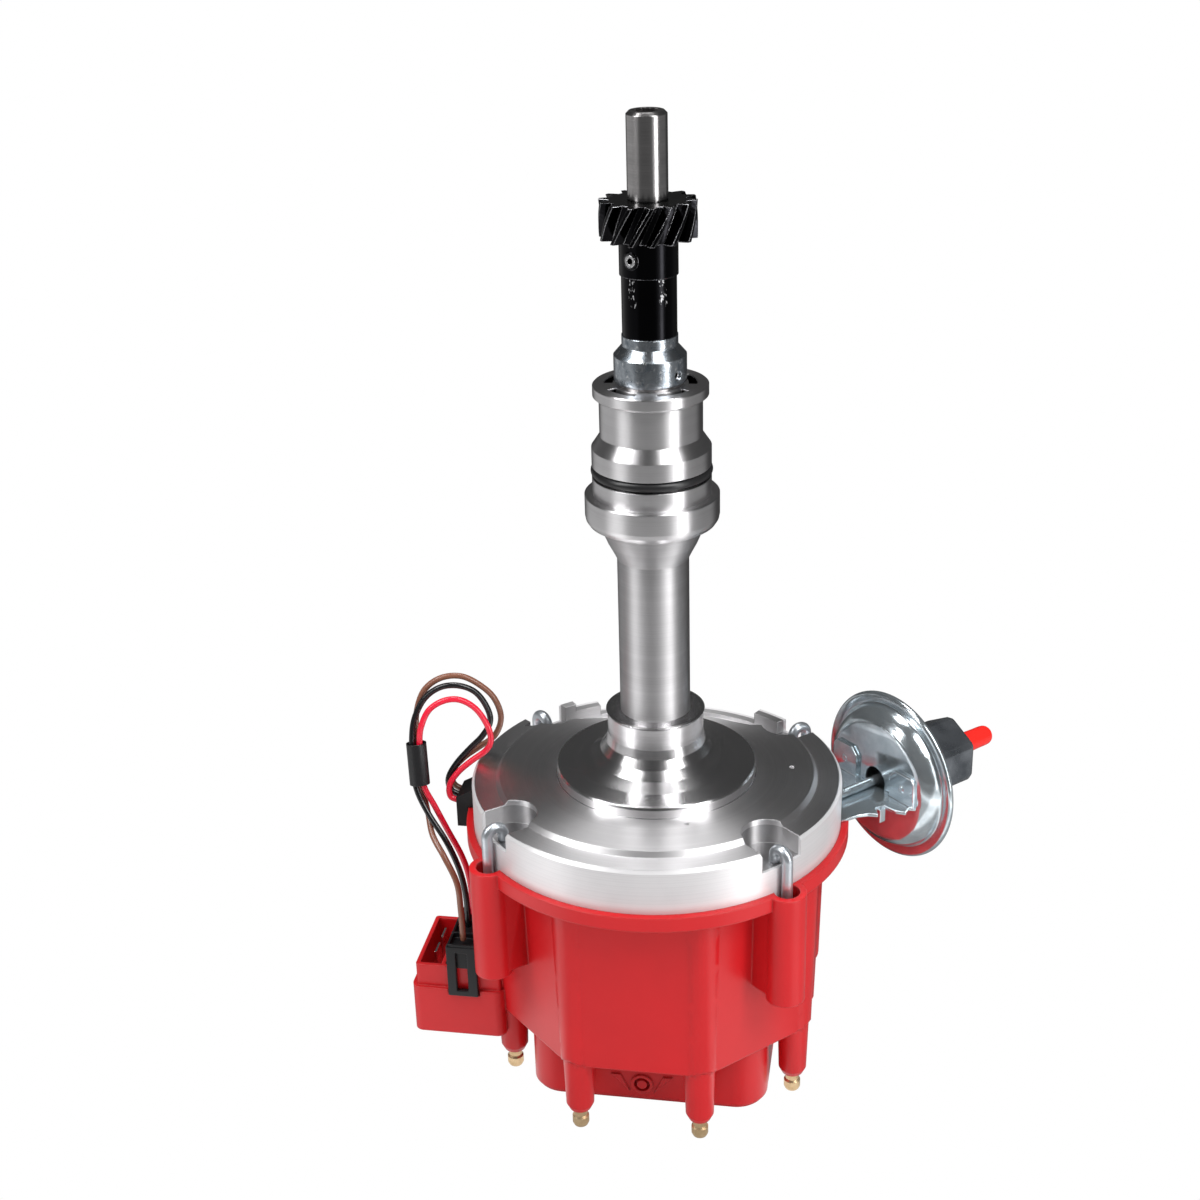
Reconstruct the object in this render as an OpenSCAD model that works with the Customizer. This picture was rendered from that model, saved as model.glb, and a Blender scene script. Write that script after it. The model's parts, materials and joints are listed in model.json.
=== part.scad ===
// Ignition distributor with the coil in its cap, for a V8 engine. Millimetres.
// Origin: on the shaft axis, in the plane of the seating shoulder that rests on the engine block.
// +Z points into the engine, towards the drive gear. The cap hangs at -Z.
// -X is the side of the cap connector. The vacuum canister points 45 degrees between +X and +Y.

/* [Shaft and gear] */
// Diameter of the main shaft
shaft_d = 13.49; // [12.7:0.01:14.3]
// Free end of the shaft above the seating shoulder
shaft_reach = 129.3; // [120:0.1:140]
// Hexagon socket in the shaft end, across flats
hex_af = 7.94; // [6.35:0.01:9.5]
// Depth of the hexagon socket
hex_deep = 19; // [10:0.5:25]
// Outside diameter of the drive gear
gear_od = 32.5; // [30:0.1:35]
// Width of the gear teeth along the shaft
gear_face = 12.4; // [10:0.1:15]
// Number of gear teeth
gear_teeth = 14; // [11:1:18]
// Lower end of the gear hub above the seating shoulder
gear_base = 76.5; // [72:0.1:80]
// Diameter of the gear hub
hub_d = 19.7; // [18.6:0.1:22]
// Diameter of the thrust collar
collar_d = 24.8; // [22:0.1:25.2]

/* [Neck] */
// Diameter of the upper pilot
pilot_d = 39.67; // [38:0.01:41]
// Height of the upper pilot's end face above the seating shoulder
pilot_top = 39; // [36:0.1:42]
// Diameter of the lower land, with the ring groove
land_d = 41.4; // [40:0.1:43]
// Section of the sealing ring
ring_w = 3.5; // [2.5:0.1:4]
// Diameter of the seating shoulder
shoulder_d = 47; // [45:0.1:50]
// Diameter of the long tube
tube_d = 25.4; // [24:0.1:28]
// Distance from the seating shoulder down to the top of the bowl
bowl_drop = 109.7; // [104:0.1:116]

/* [Bowl and cap] */
// Outside diameter of the bowl
bowl_d = 136.8; // [134:0.1:140]
// Wall of the bowl
bowl_wall = 4.9; // [4:0.1:5.5]
// Depth of the cap, from its rim to its end face
cap_depth = 73.5; // [71:0.1:78]
// How far the circle of spark plug towers lies inside the edge of the bowl
tower_inset = 10.2; // [9.6:0.1:10.8]
// Diameter of the latch rods
latch_d = 4; // [3.4:0.1:4.4]

/* [Advance] */
// Outside diameter of the trigger wheel
trigger_d = 31.8; // [30:0.1:33]
// Air gap between the trigger wheel and the pole teeth
air_gap = 0.5; // [0.2:0.05:0.8]
// Diameter of the vacuum canister
canister_d = 66; // [62:0.5:70]

/* [Fits] */
// Radial clearance of running parts
run = 0.05; // [0.02:0.01:0.08]

/* [Hidden] */
$fn = 96;
cylinders = 8;
shaft_r = shaft_d/2;
bush_r = shaft_r + 2.0;
bowl_r = bowl_d/2;
in_r = bowl_r - bowl_wall;
rim_z = -18.8;
seat_z = -21.8;
end_z = rim_z - cap_depth;
rim_r = bowl_r + 2.8;
tower_r = bowl_r - tower_inset;
cap_in = tower_r - 0.4;
step = 360/cylinders;
latch_r = bowl_r + 2.3;
latch_az = [-140.25, -42.3, 42.5, 140.25];
rod_r = latch_d/2;
post_r = rod_r + 5;
hook_r = 3.25;
hook_z = -1.8 - rod_r - hook_r;
pocket_r = 9;
floor_z = -9.3;
journal_r = shaft_r - 2.05;
cap_wall = 4;
gear_top = gear_base + 12.1 + gear_face;
boss_r = shaft_r + 4.3;
trig_r = trigger_d/2;
pole_in = trig_r + air_gap;
vac_t = 36.4;
vac_z = -15.3;
can_r = canister_d/2;
can_s = bowl_r + 7.9;
screw_a = [in_r - 19.5, -26.4];
screw_b = [in_r - 33.5, -46.4];
grommet_x = rim_r + 4.4;
neck_foot = -bowl_drop + 22.5;
plate_z = -17.4;
swing_r = 25;
wire_r = 1.15;

// which sub-part to draw

// Helpers
module bowl() translate([0, 0, -bowl_drop]) children();
module cyl(r, z0, z1) translate([0, 0, min(z0, z1)]) cylinder(r = r, h = abs(z1 - z0));
module cone(ra, rb, z0, z1) translate([0, 0, z0]) cylinder(r1 = ra, r2 = rb, h = z1 - z0);
module tube(ro, ri, z0, z1) difference() {
  cyl(ro, z0, z1);
  cyl(ri, min(z0, z1) - 1, max(z0, z1) + 1);
}
module rev(pts) rotate_extrude($fn = 128) polygon(pts);
module box(a, b) translate([min(a.x, b.x), min(a.y, b.y), min(a.z, b.z)])
  cube([abs(b.x - a.x), abs(b.y - a.y), abs(b.z - a.z)]);
module rbox(a, b, r) {
  box([a.x + r, a.y, a.z], [b.x - r, b.y, b.z]);
  box([a.x, a.y + r, a.z], [b.x, b.y - r, b.z]);
  for (x = [a.x + r, b.x - r], y = [a.y + r, b.y - r])
    translate([x, y, min(a.z, b.z)]) cylinder(r = r, h = abs(b.z - a.z));
}
module at(r, az, z = 0) rotate([0, 0, az]) translate([r, 0, z]) children();
// canister frame: local z runs along the canister axis, away from the bowl
module vac() bowl() rotate([0, 0, 45]) translate([0, -vac_t, vac_z]) rotate([0, 90, 0]) rotate([0, 0, 90])
  children();
// canister parts are drawn from the front face of the canister
module can() vac() translate([0, 0, can_s]) children();
module sweep(path, r, n = 8) {
  m = len(path);
  tan = [for (i = [0:m - 1]) let (a = path[max(i - 1, 0)], b = path[min(i + 1, m - 1)]) (b - a)/norm(b - a)];
  ref = [0.23, 0.94, 0.25];
  pts = [for (i = [0:m - 1]) let (u0 = cross(tan[i], ref), u = u0/norm(u0), v = cross(tan[i], u))
    for (k = [0:n - 1]) path[i] + r*cos(360*k/n)*u + r*sin(360*k/n)*v];
  side = [for (i = [0:m - 2], k = [0:n - 1])
    [i*n + k, i*n + (k + 1) % n, (i + 1)*n + (k + 1) % n, (i + 1)*n + k]];
  polyhedron(pts, concat([[for (k = [n - 1:-1:0]) k]], side, [[for (k = [0:n - 1]) (m - 1)*n + k]]),
    convexity = 6);
}

// Bearing bushes, turned shaft and drive
module bush_upper() color("#b08d57") bowl() tube(bush_r, shaft_r + run, -10.1, 14.7);
module bush_lower() color("#b08d57") tube(bush_r, shaft_r + run, pilot_top - 28, pilot_top - 0.4);

module mainshaft() color("#c9ccd0") {
  difference() {
    union() {
      cyl(shaft_r, -bowl_drop - 10.8, shaft_reach - 1);
      cone(shaft_r, shaft_r - 1, shaft_reach - 1, shaft_reach);
      bowl() cyl(journal_r, -21.2, -10.8);
      bowl() cyl(journal_r - 0.8, -25.6, -21.2);
    }
    translate([0, 0, shaft_reach - hex_deep]) cylinder(r = hex_af/sqrt(3), h = hex_deep + 1, $fn = 6);
    // grinding relief between the gear's seat and the end journal
    tube(shaft_r + 1, shaft_r - 0.4, gear_top - 2, gear_top + 0.3);
    translate([0, 0, gear_base + 6]) rotate([0, 90, -119]) cylinder(r = 2, h = 40, center = true);
    translate([0, 0, pilot_top + 4.6]) rotate([0, 90, -33]) cylinder(r = 1.6, h = 40, center = true);
  }
}

module thrust_washer() color("#8f8f94") tube(shaft_r + 4.6, shaft_r + 0.1, pilot_top, pilot_top + 1);

module thrust_collar() color("#aab4bc") difference() {
  c = collar_d/2;
  b = pilot_top + 1.05;
  rev([[shaft_r, b], [c - 0.4, b], [c, b + 0.4], [c, b + 9.1], [9.55, b + 12.4], [9.55, b + 15.95],
    [shaft_r, b + 15.95]]);
  translate([0, 0, pilot_top + 4.6]) rotate([0, 90, -33]) cylinder(r = 1.6, h = 40, center = true);
}

module spacer_sleeve() color("#1b1c1e") tube(9.27, shaft_r, pilot_top + 17, gear_base);

module tooth2d() {
  ro = gear_od/2;
  ri = ro - 3.4;
  w = 360/gear_teeth;
  polygon([for (p = [[ri - 0.6, -0.36], [ri, -0.32], [ri + 1.7, -0.22], [ro, -0.1], [ro, 0.1],
    [ri + 1.7, 0.22], [ri, 0.32], [ri - 0.6, 0.36]]) [p.x*cos(p.y*w), p.x*sin(p.y*w)]]);
}
module drive_gear() color("#141517") difference() {
  gz = gear_base + 12.1;
  union() {
    cyl(hub_d/2, gear_base, gz + 1);
    translate([0, 0, gz]) linear_extrude(gear_face, twist = -2.11*gear_face, slices = 8) {
      circle(r = gear_od/2 - 3.4, $fn = 56);
      for (k = [0:gear_teeth - 1]) rotate(k*360/gear_teeth) tooth2d();
    }
  }
  cyl(shaft_r, gear_base - 1, gz + gear_face + 1);
  translate([0, 0, gear_base + 6]) rotate([0, 90, -119]) cylinder(r = 2, h = 40, center = true);
}
// rolled pins through the gear's hub and through the collar
module roll_pins() color("#5b5f64") {
  translate([0, 0, gear_base + 6]) rotate([0, 90, -119]) difference() {
    cylinder(r = 2, h = hub_d + 0.6, center = true);
    cylinder(r = 1.1, h = 60, center = true);
  }
  translate([0, 0, pilot_top + 4.6]) rotate([0, 90, -33]) difference() {
    cylinder(r = 1.6, h = collar_d - 1.6, center = true);
    cylinder(r = 0.8, h = 60, center = true);
  }
}

// Housing: the turned neck with its tube, and the bowl
function zc(z) = z - bowl_drop;
module neck_body() {
  p = pilot_d/2;
  l = land_d/2;
  s = shoulder_d/2;
  t = tube_d/2;
  gr = l - ring_w + 0.4;
  rev([[0, pilot_top], [p - 0.4, pilot_top], [p, pilot_top - 0.4], [p, pilot_top - 3.8],
    [p - 0.9, pilot_top - 4.6], [p - 2.1, pilot_top - 4.6], [p - 2.1, 21.1], [l - 0.2, 17], [l, 16.7],
    [l, 8.25 + ring_w/2 + 0.3], [gr, 8.25 + ring_w/2 + 0.3], [gr, 8.25 - ring_w/2 - 0.3],
    [l, 8.25 - ring_w/2 - 0.3], [l, 0], [s - 0.4, 0], [s, -0.4], [s, -7.8], [s - 0.3, -9.3], [s - 1.2, -10.7],
    [s - 2.8, -11.7], [s - 5, -12], [t + 4.4, -15.3], [t + 3.1, -18.4], [t + 1.3, -21.8], [t, -24.5],
    [t, neck_foot], [0, neck_foot]]);
}
module bowl_body() {
  t = tube_d/2;
  rev([[0, zc(22.5)], [t, zc(22.5)], [t + 3.9, zc(25.6)], [t + 5.3, zc(25.6)], [t + 4.8, zc(24.7)],
    [t + 4.8, zc(16.7)], [t + 5.6, zc(13.2)], [t + 7.8, zc(10.1)], [t + 11.3, zc(7.5)], [t + 16.3, zc(5.4)],
    [35.5, zc(4.4)], [36.3, zc(4.1)], [36.8, zc(3.3)], [36.8, zc(0)], [bowl_r - 10.4, zc(0)],
    [bowl_r - 8.9, zc(-1.8)], [bowl_r - 1.2, zc(-1.8)], [bowl_r, zc(-3)], [bowl_r, zc(seat_z)],
    [0, zc(seat_z)]]);
}
// bore for the bushes, wider between them
module bores() {
  cyl(bush_r, zc(14.7), zc(-12));
  cyl(shaft_r + 1.2, zc(-12), pilot_top + 1);
  cyl(bush_r, pilot_top - 28, pilot_top + 1);
}
module neck() color("#c4c7ca") difference() {
  neck_body();
  bores();
  // drain slots round the lower bush
  for (k = [0:4]) sector(12.9, 15.9, 143 + 72*k, 187 + 72*k, pilot_top - 4, pilot_top + 1);
}
// outline of the milled relief at the back, grown inwards by g
module relief2d(g) {
  intersection() {
    polygon([[-60, 29 - g], [-45.7 - g/2, 32.8 - g], [-25, 37.4 - g], [13, 43.7 - g], [31, 38.3 - g],
      [42.6 + g/2, 38.9 - g], [60, 39 - g], [60, 80], [-60, 80]]);
    circle(r = in_r + 0.6);
  }
}
module pocket(az, r, z0, z1) at(0, az) {
  translate([bowl_r - 8.2, 0, z0]) cylinder(r = r, h = z1 - z0);
  translate([bowl_r - 8.2, -r, z0]) cube([20, 2*r, z1 - z0]);
}
module sector(r0, r1, a0, a1, z0, z1) translate([0, 0, z0]) rotate([0, 0, a0])
  rotate_extrude(angle = a1 - a0) translate([r0, 0]) square([r1 - r0, z1 - z0]);

module housing() color("#c4c7ca") difference() {
  bowl_body();
  // bowl cavity, with bosses left under the pockets, the relief and the pickup
  bowl() difference() {
    cyl(in_r, seat_z - 1, -4.8);
    for (a = latch_az) pocket(a, pocket_r + 2.6, -13.2, -3);
    translate([0, 0, -14.4]) linear_extrude(12) relief2d(3);
    cyl(boss_r + 8, -5.9, -4);
    cyl(boss_r, -10.1, -4);
    for (p = [screw_a, screw_b]) rotate([0, 0, 45]) translate([p.x, p.y, plate_z])
      cylinder(r = 4, h = 14);
  }
  bores();
  bowl() {
    for (a = latch_az) pocket(a, pocket_r, floor_z, 10);
    translate([0, 0, -10.8]) linear_extrude(20) relief2d(0);
    sector(in_r - 1, bowl_r + 1, 61, 118.5, -8.8, 5);
    sector(in_r - 1, bowl_r + 1, 118.4, 128, -4.8, 5);
    sector(in_r - 1, bowl_r + 1, 47, 61.1, -4.3, 5);
    // dimples on the disc
    translate([49.6, 6.9, -1.2]) cylinder(r = 1, h = 3);
    translate([16.3, -38.3, -1.2]) cylinder(r = 0.8, h = 3);
    // clip groove on the boss
    tube(boss_r + 1, boss_r - 0.8, -9.05, -7.85);
    // window for the canister bracket and rod
    rotate([0, 0, 45]) box([screw_a.x - 5, -vac_t - 12.2, seat_z - 1], [bowl_r + 12, -vac_t + 12.2, -11.6]);
    for (p = [screw_a, screw_b]) rotate([0, 0, 45]) translate([p.x, p.y, plate_z - 0.6])
      cylinder(r = 1.5, h = 10);
    // wire slot under the grommet
    box([-bowl_r - 2, -5, seat_z - 1], [-in_r + 1, 6, -14.2]);
    // module and capacitor screw holes
    for (x = [-24, 24]) translate([x, -47, -6]) cylinder(r = 1.5, h = 4.5);
    translate([-49, -20.5, -6]) cylinder(r = 1.5, h = 4.5);
  }
}

module o_ring() color("#101010") translate([0, 0, 8.25]) rotate_extrude()
  translate([land_d/2 - ring_w/2 + 0.4, 0]) circle(r = ring_w/2, $fn = 32);

// Trigger and centrifugal advance
module timer_core() color("#6f7378") bowl() difference() {
  union() {
    cyl(journal_r + 3.9, -18.7, -10.85);
    cyl(trig_r - 3.1, -16.5, -12.1);
    for (k = [0:cylinders - 1]) rotate([0, 0, k*step]) intersection() {
      cyl(trig_r, -16.5, -12.1);
      box([5, -1.4, -16.5], [trig_r + 1, 1.4, -12.1]);
    }
  }
  cyl(journal_r + run, -30, 0);
}
module weight_plate() color("#9a8f5c") bowl() difference() {
  union() {
    cyl(33, -20.9, -18.7);
    for (s = [-1, 1]) {
      translate([s*swing_r, 0, 0]) cyl(2.5, -29.8, -20);
      at(13.5, 67 + 90*(1 - s)) cyl(2, -31.8, -20);
    }
  }
  cyl(journal_r + run, -30, 0);
  for (a = [22.5:45:360]) at(23, a) cyl(4, -30, -10);
  for (s = [-1, 1]) at(13.5, 67 + 90*(1 - s)) cyl(1.1, -32, -25);
}
module centre_cam() color("#85898e") bowl() difference() {
  union() {
    box([-11.5, -3, -24.5], [11.5, 3, -21.3]);
    cyl(6.6, -24.5, -21.3);
    for (s = [-1, 1]) {
      translate([s*11.5, 0, 0]) cyl(3, -24.5, -21.3);
      translate([0, s*9, 0]) cyl(2.4, -24.5, -21.3);
      translate([0, s*9, 0]) cyl(1.5, -29.8, -24);
      box([-2.4, 0, -24.5], [2.4, s*9, -21.3]);
    }
  }
  cyl(journal_r - 0.8, -30, -20);
}
module weight(s) color("#b9a05a") bowl() rotate([0, 0, 90*(1 - s)]) difference() {
  union() {
    sector(17, 31, 0, 140, -24.45, -20.95);
    at(24, 140) cyl(5.5, -24.2, -21.2);
    translate([swing_r, 0, 0]) cyl(5.8, -24.45, -20.95);
    // toe that pushes on the centre cam
    translate([13.5, -4.75, 0]) cyl(2, -24.45, -20.95);
    translate([13.5, -4.75, 0]) rotate([0, 0, 10.4]) box([0, -1.8, -24.45], [10, 1.8, -20.95]);
  }
  translate([swing_r, 0, 0]) cyl(2.5 + run, -30, -10);
}
module weight_a() weight(1);
module weight_b() weight(-1);
// spring body as a grooved sleeve, drawn as a coil elsewhere
function ribs(ro, d, z0, z1, n) = concat([[ro - d - 0.5, z0]],
  [for (i = [0:n - 1]) each [[ro - d, z0 + (z1 - z0)*i/n], [ro, z0 + (z1 - z0)*(i + 0.5)/n]]],
  [[ro - d, z1], [ro - d - 0.5, z1]]);
module weight_spring(s) color("#8d9297") bowl() rotate([0, 0, 90*(1 - s)]) {
  span = norm([swing_r, 9]);
  a = atan2(9, -swing_r);
  translate([swing_r, 0, -28]) rotate([0, 0, a]) {
    rotate([0, 90, 0]) rev(concat([[0, 2.8], [0.45, 2.8]], ribs(1.7, 0.5, 3.5, span - 2.8, 11),
      [[0.45, span - 1.8], [0, span - 1.8]]));
    tubex(3.15, 2.55);
    translate([span, 0, 0]) tubex(2.15, 1.55);
  }
}
module pan_screw(top, seat, tip) difference() {
  union() {
    cyl(3, top, seat);
    cyl(1.5, seat, tip);
  }
  box([-3.1, -0.4, top - 0.1], [3.1, 0.4, top + 0.7]);
}
module tubex(ro, ri) tube(ro, ri, -0.6, 0.6);
module weight_spring_a() weight_spring(1);
module weight_spring_b() weight_spring(-1);

module rotor() color("#17181a") bowl() difference() {
  union() {
    cyl(31, -34.8, -31.8);
    tube(31, 29, -34.8, -30.6);
    rev([[0, -34], [17, -34], [17, -36], [12.5, -40], [11, end_z + 20], [0, end_z + 20]]);
    rotate([0, 0, 22.5]) box([-9, -7, end_z + 17.5], [tower_r - 12, 7, end_z + 27]);
    for (a = [22.5, 202.5]) rotate([0, 0, a]) box([5, -1.6, end_z + 27], [24, 1.6, -34]);
  }
  cyl(7.6, end_z + 40, -30);
  for (a = [67, 247]) at(13.5, a) cyl(1.2, -50, -20);
  for (a = [67, 247]) at(13.5, a) cyl(3.4, end_z + 40, -34.8);
}
module rotor_blade() color("#c79a4b") bowl() {
  rotate([0, 0, 22.5]) {
    box([-7, -4, end_z + 16.5], [tower_r - 7.9, 4, end_z + 17.5]);
    box([tower_r - 9.1, -4, end_z + 11.5], [tower_r - 7.9, 4, end_z + 17.5]);
  }
  cone(2.4, 4, end_z + 15, end_z + 16.5);
}
module rotor_screws() color("#b9bec3") bowl() for (a = [67, 247]) at(13.5, a) difference() {
  union() {
    cyl(3.2, -36.9, -34.8);
    cyl(1.1, -34.8, -27);
  }
  box([-3.3, -0.4, -37], [3.3, 0.4, -36.2]);
}

// Pickup on its turning plate
module pickup_plate() color("#a7abaf") bowl() difference() {
  union() {
    cyl(35.2, -7.75, -5.95);
    at(vac_t, -45) cyl(5, -7.6, -6.1);
    at(vac_t, -45) cyl(2, -17.8, -7);
  }
  cyl(boss_r + run, -10, 0);
}
module pickup_magnet() color("#3a3c40") bowl() tube(33, 24, -12.6, -7.75);
module pole_piece() color("#a3a7ab") bowl() difference() {
  union() {
    tube(33, trig_r + 5.4, -15.1, -12.6);
    for (k = [0:cylinders - 1]) rotate([0, 0, k*step]) box([pole_in - 1, -1.4, -15.1],
      [trig_r + 6.4, 1.4, -12.6]);
  }
  cyl(pole_in, -16, -12);
}
module pickup_coil() color("#27292c") bowl() difference() {
  tube(23.4, trig_r + 1.2, -12.55, -7.75);
  tube(24, 22.2, -11.6, -8.7);
}
module plate_clip() color("#8d9297") bowl() difference() {
  tube(boss_r + 2.4, boss_r - 0.8, -9.05, -7.85);
  box([0, -1.5, -10], [30, 1.5, -7]);
}

// Electronics in the bowl
module igniter() color("#202124") bowl() difference() {
  intersection() {
    box([-29, -62, -15.8], [29, -40.5, -4.8]);
    cyl(in_r - 1, -20, 0);
  }
  for (x = [-24, 24]) translate([x, -47, -20]) cylinder(r = 1.7, h = 20);
  box([-18, -60, -16], [18, -50, -13.8]);
}
module capacitor() color("#b4b7ba") bowl() {
  translate([-49, 14, -12.3]) rotate([90, 0, 0]) cylinder(r = 7.5, h = 28);
  translate([-49, 17, -12.3]) rotate([90, 0, 0]) cylinder(r = 2, h = 4);
  box([-52, -24.5, -5.9], [-46, -13, -4.8]);
  difference() {
    box([-52, -24.5, -5.9], [-46, -17, -4.8]);
    translate([-49, -20.5, -8]) cylinder(r = 1.5, h = 6);
  }
}

// Cap with its posts, towers and connector hood
module tower_holes() for (k = [0:cylinders - 1]) at(tower_r, (k + 0.5)*step) {
  cyl(2.5, -200, end_z + 20);
  box([-7.2, -3, end_z + cap_wall], [0, 3, end_z + 20]);
}
module cap_shell() intersection() {
  union() {
    translate([0, 0, end_z]) rotate([0, 0, step/2])
      cylinder(r1 = tower_r + 6.2, r2 = tower_r + 7.8, h = seat_z - end_z, $fn = cylinders);
    for (k = [0:cylinders - 1]) at(tower_r, (k + 0.5)*step) cone(6.6, 8.2, end_z, seat_z - 1);
  }
  rev([[0, seat_z], [90, seat_z], [90, end_z + 5], [tower_r + 7, end_z + 4], [tower_r + 6.4, end_z + 1.9],
    [tower_r + 5.3, end_z + 0.6], [tower_r + 3.5, end_z], [0, end_z]]);
}
module hood() {
  z0 = end_z - 11;
  difference() {
    union() {
      rbox([-90.8, -32, z0], [-55, 4, z0 + 20], 3.5);
      rbox([-89, -30.5, z0 + 4], [-56, 2.5, z0 + 29.3], 1.2);
    }
    box([-87.4, -28.9, z0 + 17], [-79.2, 0.9, z0 + 40]);
    box([-77.6, -28.9, z0 + 17], [-cap_in - 3.4, 0.9, z0 + 40]);
    // notch where the plug's clip snaps in
    box([-76.4, -33, z0 + 17.8], [-64, -30.5, z0 + 21]);
  }
}
module cap_ring() cyl(rim_r, seat_z - 2.5, rim_z);
module tower_tips() for (k = [0:cylinders - 1]) at(tower_r, (k + 0.5)*step) {
  cone(5.2, 5.8, end_z - 20, end_z + 1);
  cone(4.0, 5.2, end_z - 22.5, end_z - 20);
}
module latch_holes() for (a = latch_az) at(latch_r, a) {
  cyl(rod_r + 2.6, rim_z - 9.5, rim_z + 1);
  cyl(rod_r + run, rim_z - 60, rim_z);
  cyl(rod_r + 2.6, rim_z - 60, rim_z - 21.5);
}
// wall and rim of the cap
module cap() color("#d4202a") bowl() difference() {
  union() {
    cap_shell();
    cap_ring();
  }
  cyl(2*rim_r, end_z - 1, end_z + cap_wall);
  cyl(cap_in, end_z + cap_wall - 1, rim_z + 1);
  cyl(bowl_r + 0.1, seat_z, rim_z + 1);
  tower_holes();
  latch_holes();
}
// end plate of the cap with the towers' tips and the boss for the brush
module cap_top() color("#d4202a") bowl() difference() {
  union() {
    intersection() {
      cap_shell();
      cyl(2*rim_r, end_z - 1, end_z + cap_wall);
    }
    tower_tips();
    cyl(7, end_z + 2, end_z + cap_wall + 4);
  }
  cyl(3 + run, end_z - 1, end_z + 10);
  for (k = [0:cylinders - 1]) at(tower_r, (k + 0.5)*step) cyl(2.5, -200, end_z + 20);
  // screw holes for the coil cover
  for (x = [-33, 33], y = [-30, 31]) translate([x, y, end_z - 1]) cylinder(r = 1.5, h = cap_wall);
}
// four half-round posts on the wall of the cap, one for each latch
module cap_posts() color("#d4202a") bowl() difference() {
  for (a = latch_az) rotate([0, 0, a]) {
    translate([latch_r, 0, 0]) cyl(post_r, rim_z - 44, rim_z);
    box([tower_r - 1, -post_r + 0.6, rim_z - 42], [latch_r, post_r - 0.6, seat_z]);
  }
  cap_shell();
  cyl(rim_r, seat_z - 2.5, rim_z + 1);
  latch_holes();
}
module cap_hood() color("#d4202a") bowl() difference() {
  hood();
  cap_shell();
  tower_tips();
}
module terminals() color("#c79a4b") bowl() for (k = [0:cylinders - 1]) at(tower_r, (k + 0.5)*step) {
  rev([[0, end_z - 31.3], [1.6, end_z - 31.1], [2.6, end_z - 30.3], [3.1, end_z - 29.2],
    [3.1, end_z - 26.4], [2.5, end_z - 25.6], [2.5, end_z + 20], [0, end_z + 20]]);
  box([-7.2, -3, end_z + cap_wall], [0, 3, end_z + 20]);
}
module coil() color("#1d1e20") bowl() {
  rbox([-25, -22, end_z - 23.5], [25, 22, end_z - 1], 4);
  cyl(6, end_z - 1, end_z);
}
module coil_core() color("#5e6266") bowl() difference() {
  rbox([-37.5, -33, end_z - 17.5], [37.5, 33, end_z - 3.5], 3);
  rbox([-25, -22, end_z - 30], [25, 22, end_z], 4);
  for (x = [-33, 33], y = [-30, 31]) translate([x, y, end_z - 30]) cylinder(r = 1.9, h = 40);
}
module coil_cover() color("#d4202a") bowl() difference() {
  union() {
    rbox([-44.2, -41, end_z - 26.6], [45, 43, end_z], 12);
    rbox([-43.2, -40, end_z - 28], [44, 42, end_z - 26.6], 11);
    rbox([-41.6, -38.4, end_z - 29], [42.4, 40.4, end_z - 28], 9.6);
    // small round boss and two ribs on the front face
    translate([-1, -40, end_z - 20]) rotate([90, 0, 0]) cylinder(r = 4.2, h = 1.8);
    for (s = [-1, 1]) translate([-1 + 4.6*s, -40.6, end_z - 20.5]) rotate([90, 0, 0]) linear_extrude(1.2)
      polygon([[0, -3], [s*7, 4.5], [s*3.5, 4.5]]);
  }
  rbox([-41.8, -38.6, end_z - 26.6], [42.6, 40.6, end_z + 1], 9.8);
  translate([-1, -39, end_z - 20]) rotate([90, 0, 0]) difference() {
    cylinder(r = 3, h = 5);
    cylinder(r = 1.9, h = 5);
  }
  for (x = [-33, 33], y = [-30, 31]) translate([x, y, end_z - 40]) cylinder(r = 1.7, h = 40);
}
module cover_screws() color("#2a2b2d") bowl() for (x = [-33, 33], y = [-30, 31]) translate([x, y, 0])
  difference() {
    union() {
      cyl(3.2, end_z - 30.6, end_z - 29);
      cyl(1.5, end_z - 29, end_z + 2.6);
    }
    box([-0.5, -2, end_z - 31], [0.5, 2, end_z - 30]);
    box([-2, -0.5, end_z - 31], [2, 0.5, end_z - 30]);
  }
module brush() color("#2c2d30") bowl() cyl(3, end_z + 2.9, end_z + 14.95);
module brush_spring() color("#8d9297") bowl() translate([0, 0, end_z + 0.05]) rev(ribs(2.6, 0.5, 0, 2.8, 4));
module blades() color("#cfd2d4") bowl() for (y = [-16, -6])
  box([-84.4, y - 3.1, end_z + 6], [-83.6, y + 3.1, end_z + 16.6]);

// Latches: rod, hairpin hook and slotted head in one piece
module latch(i) color("#b3bcc4") bowl() at(latch_r, latch_az[i]) difference() {
  union() {
    cyl(rod_r, rim_z - 39, hook_z);
    translate([-hook_r, 0, hook_z]) rotate([90, 0, 0]) rotate_extrude(angle = 180)
      translate([hook_r, 0]) circle(r = rod_r, $fn = 32);
    translate([-2*hook_r, 0, 0]) cyl(rod_r, floor_z + run, hook_z);
    cyl(rod_r + 2.3, rim_z - 43.9, rim_z - 39);
  }
  box([-8, -0.6, rim_z - 45], [8, 0.6, rim_z - 42.6]);
}
module latch_fl() latch(0);
module latch_fr() latch(1);
module latch_br() latch(2);
module latch_bl() latch(3);
module latch_springs() color("#8d9297") bowl() for (a = latch_az) at(latch_r, a)
  rev(ribs(rod_r + 2.2, 0.8, rim_z - 38.95, rim_z - 21.55, 9));

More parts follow.
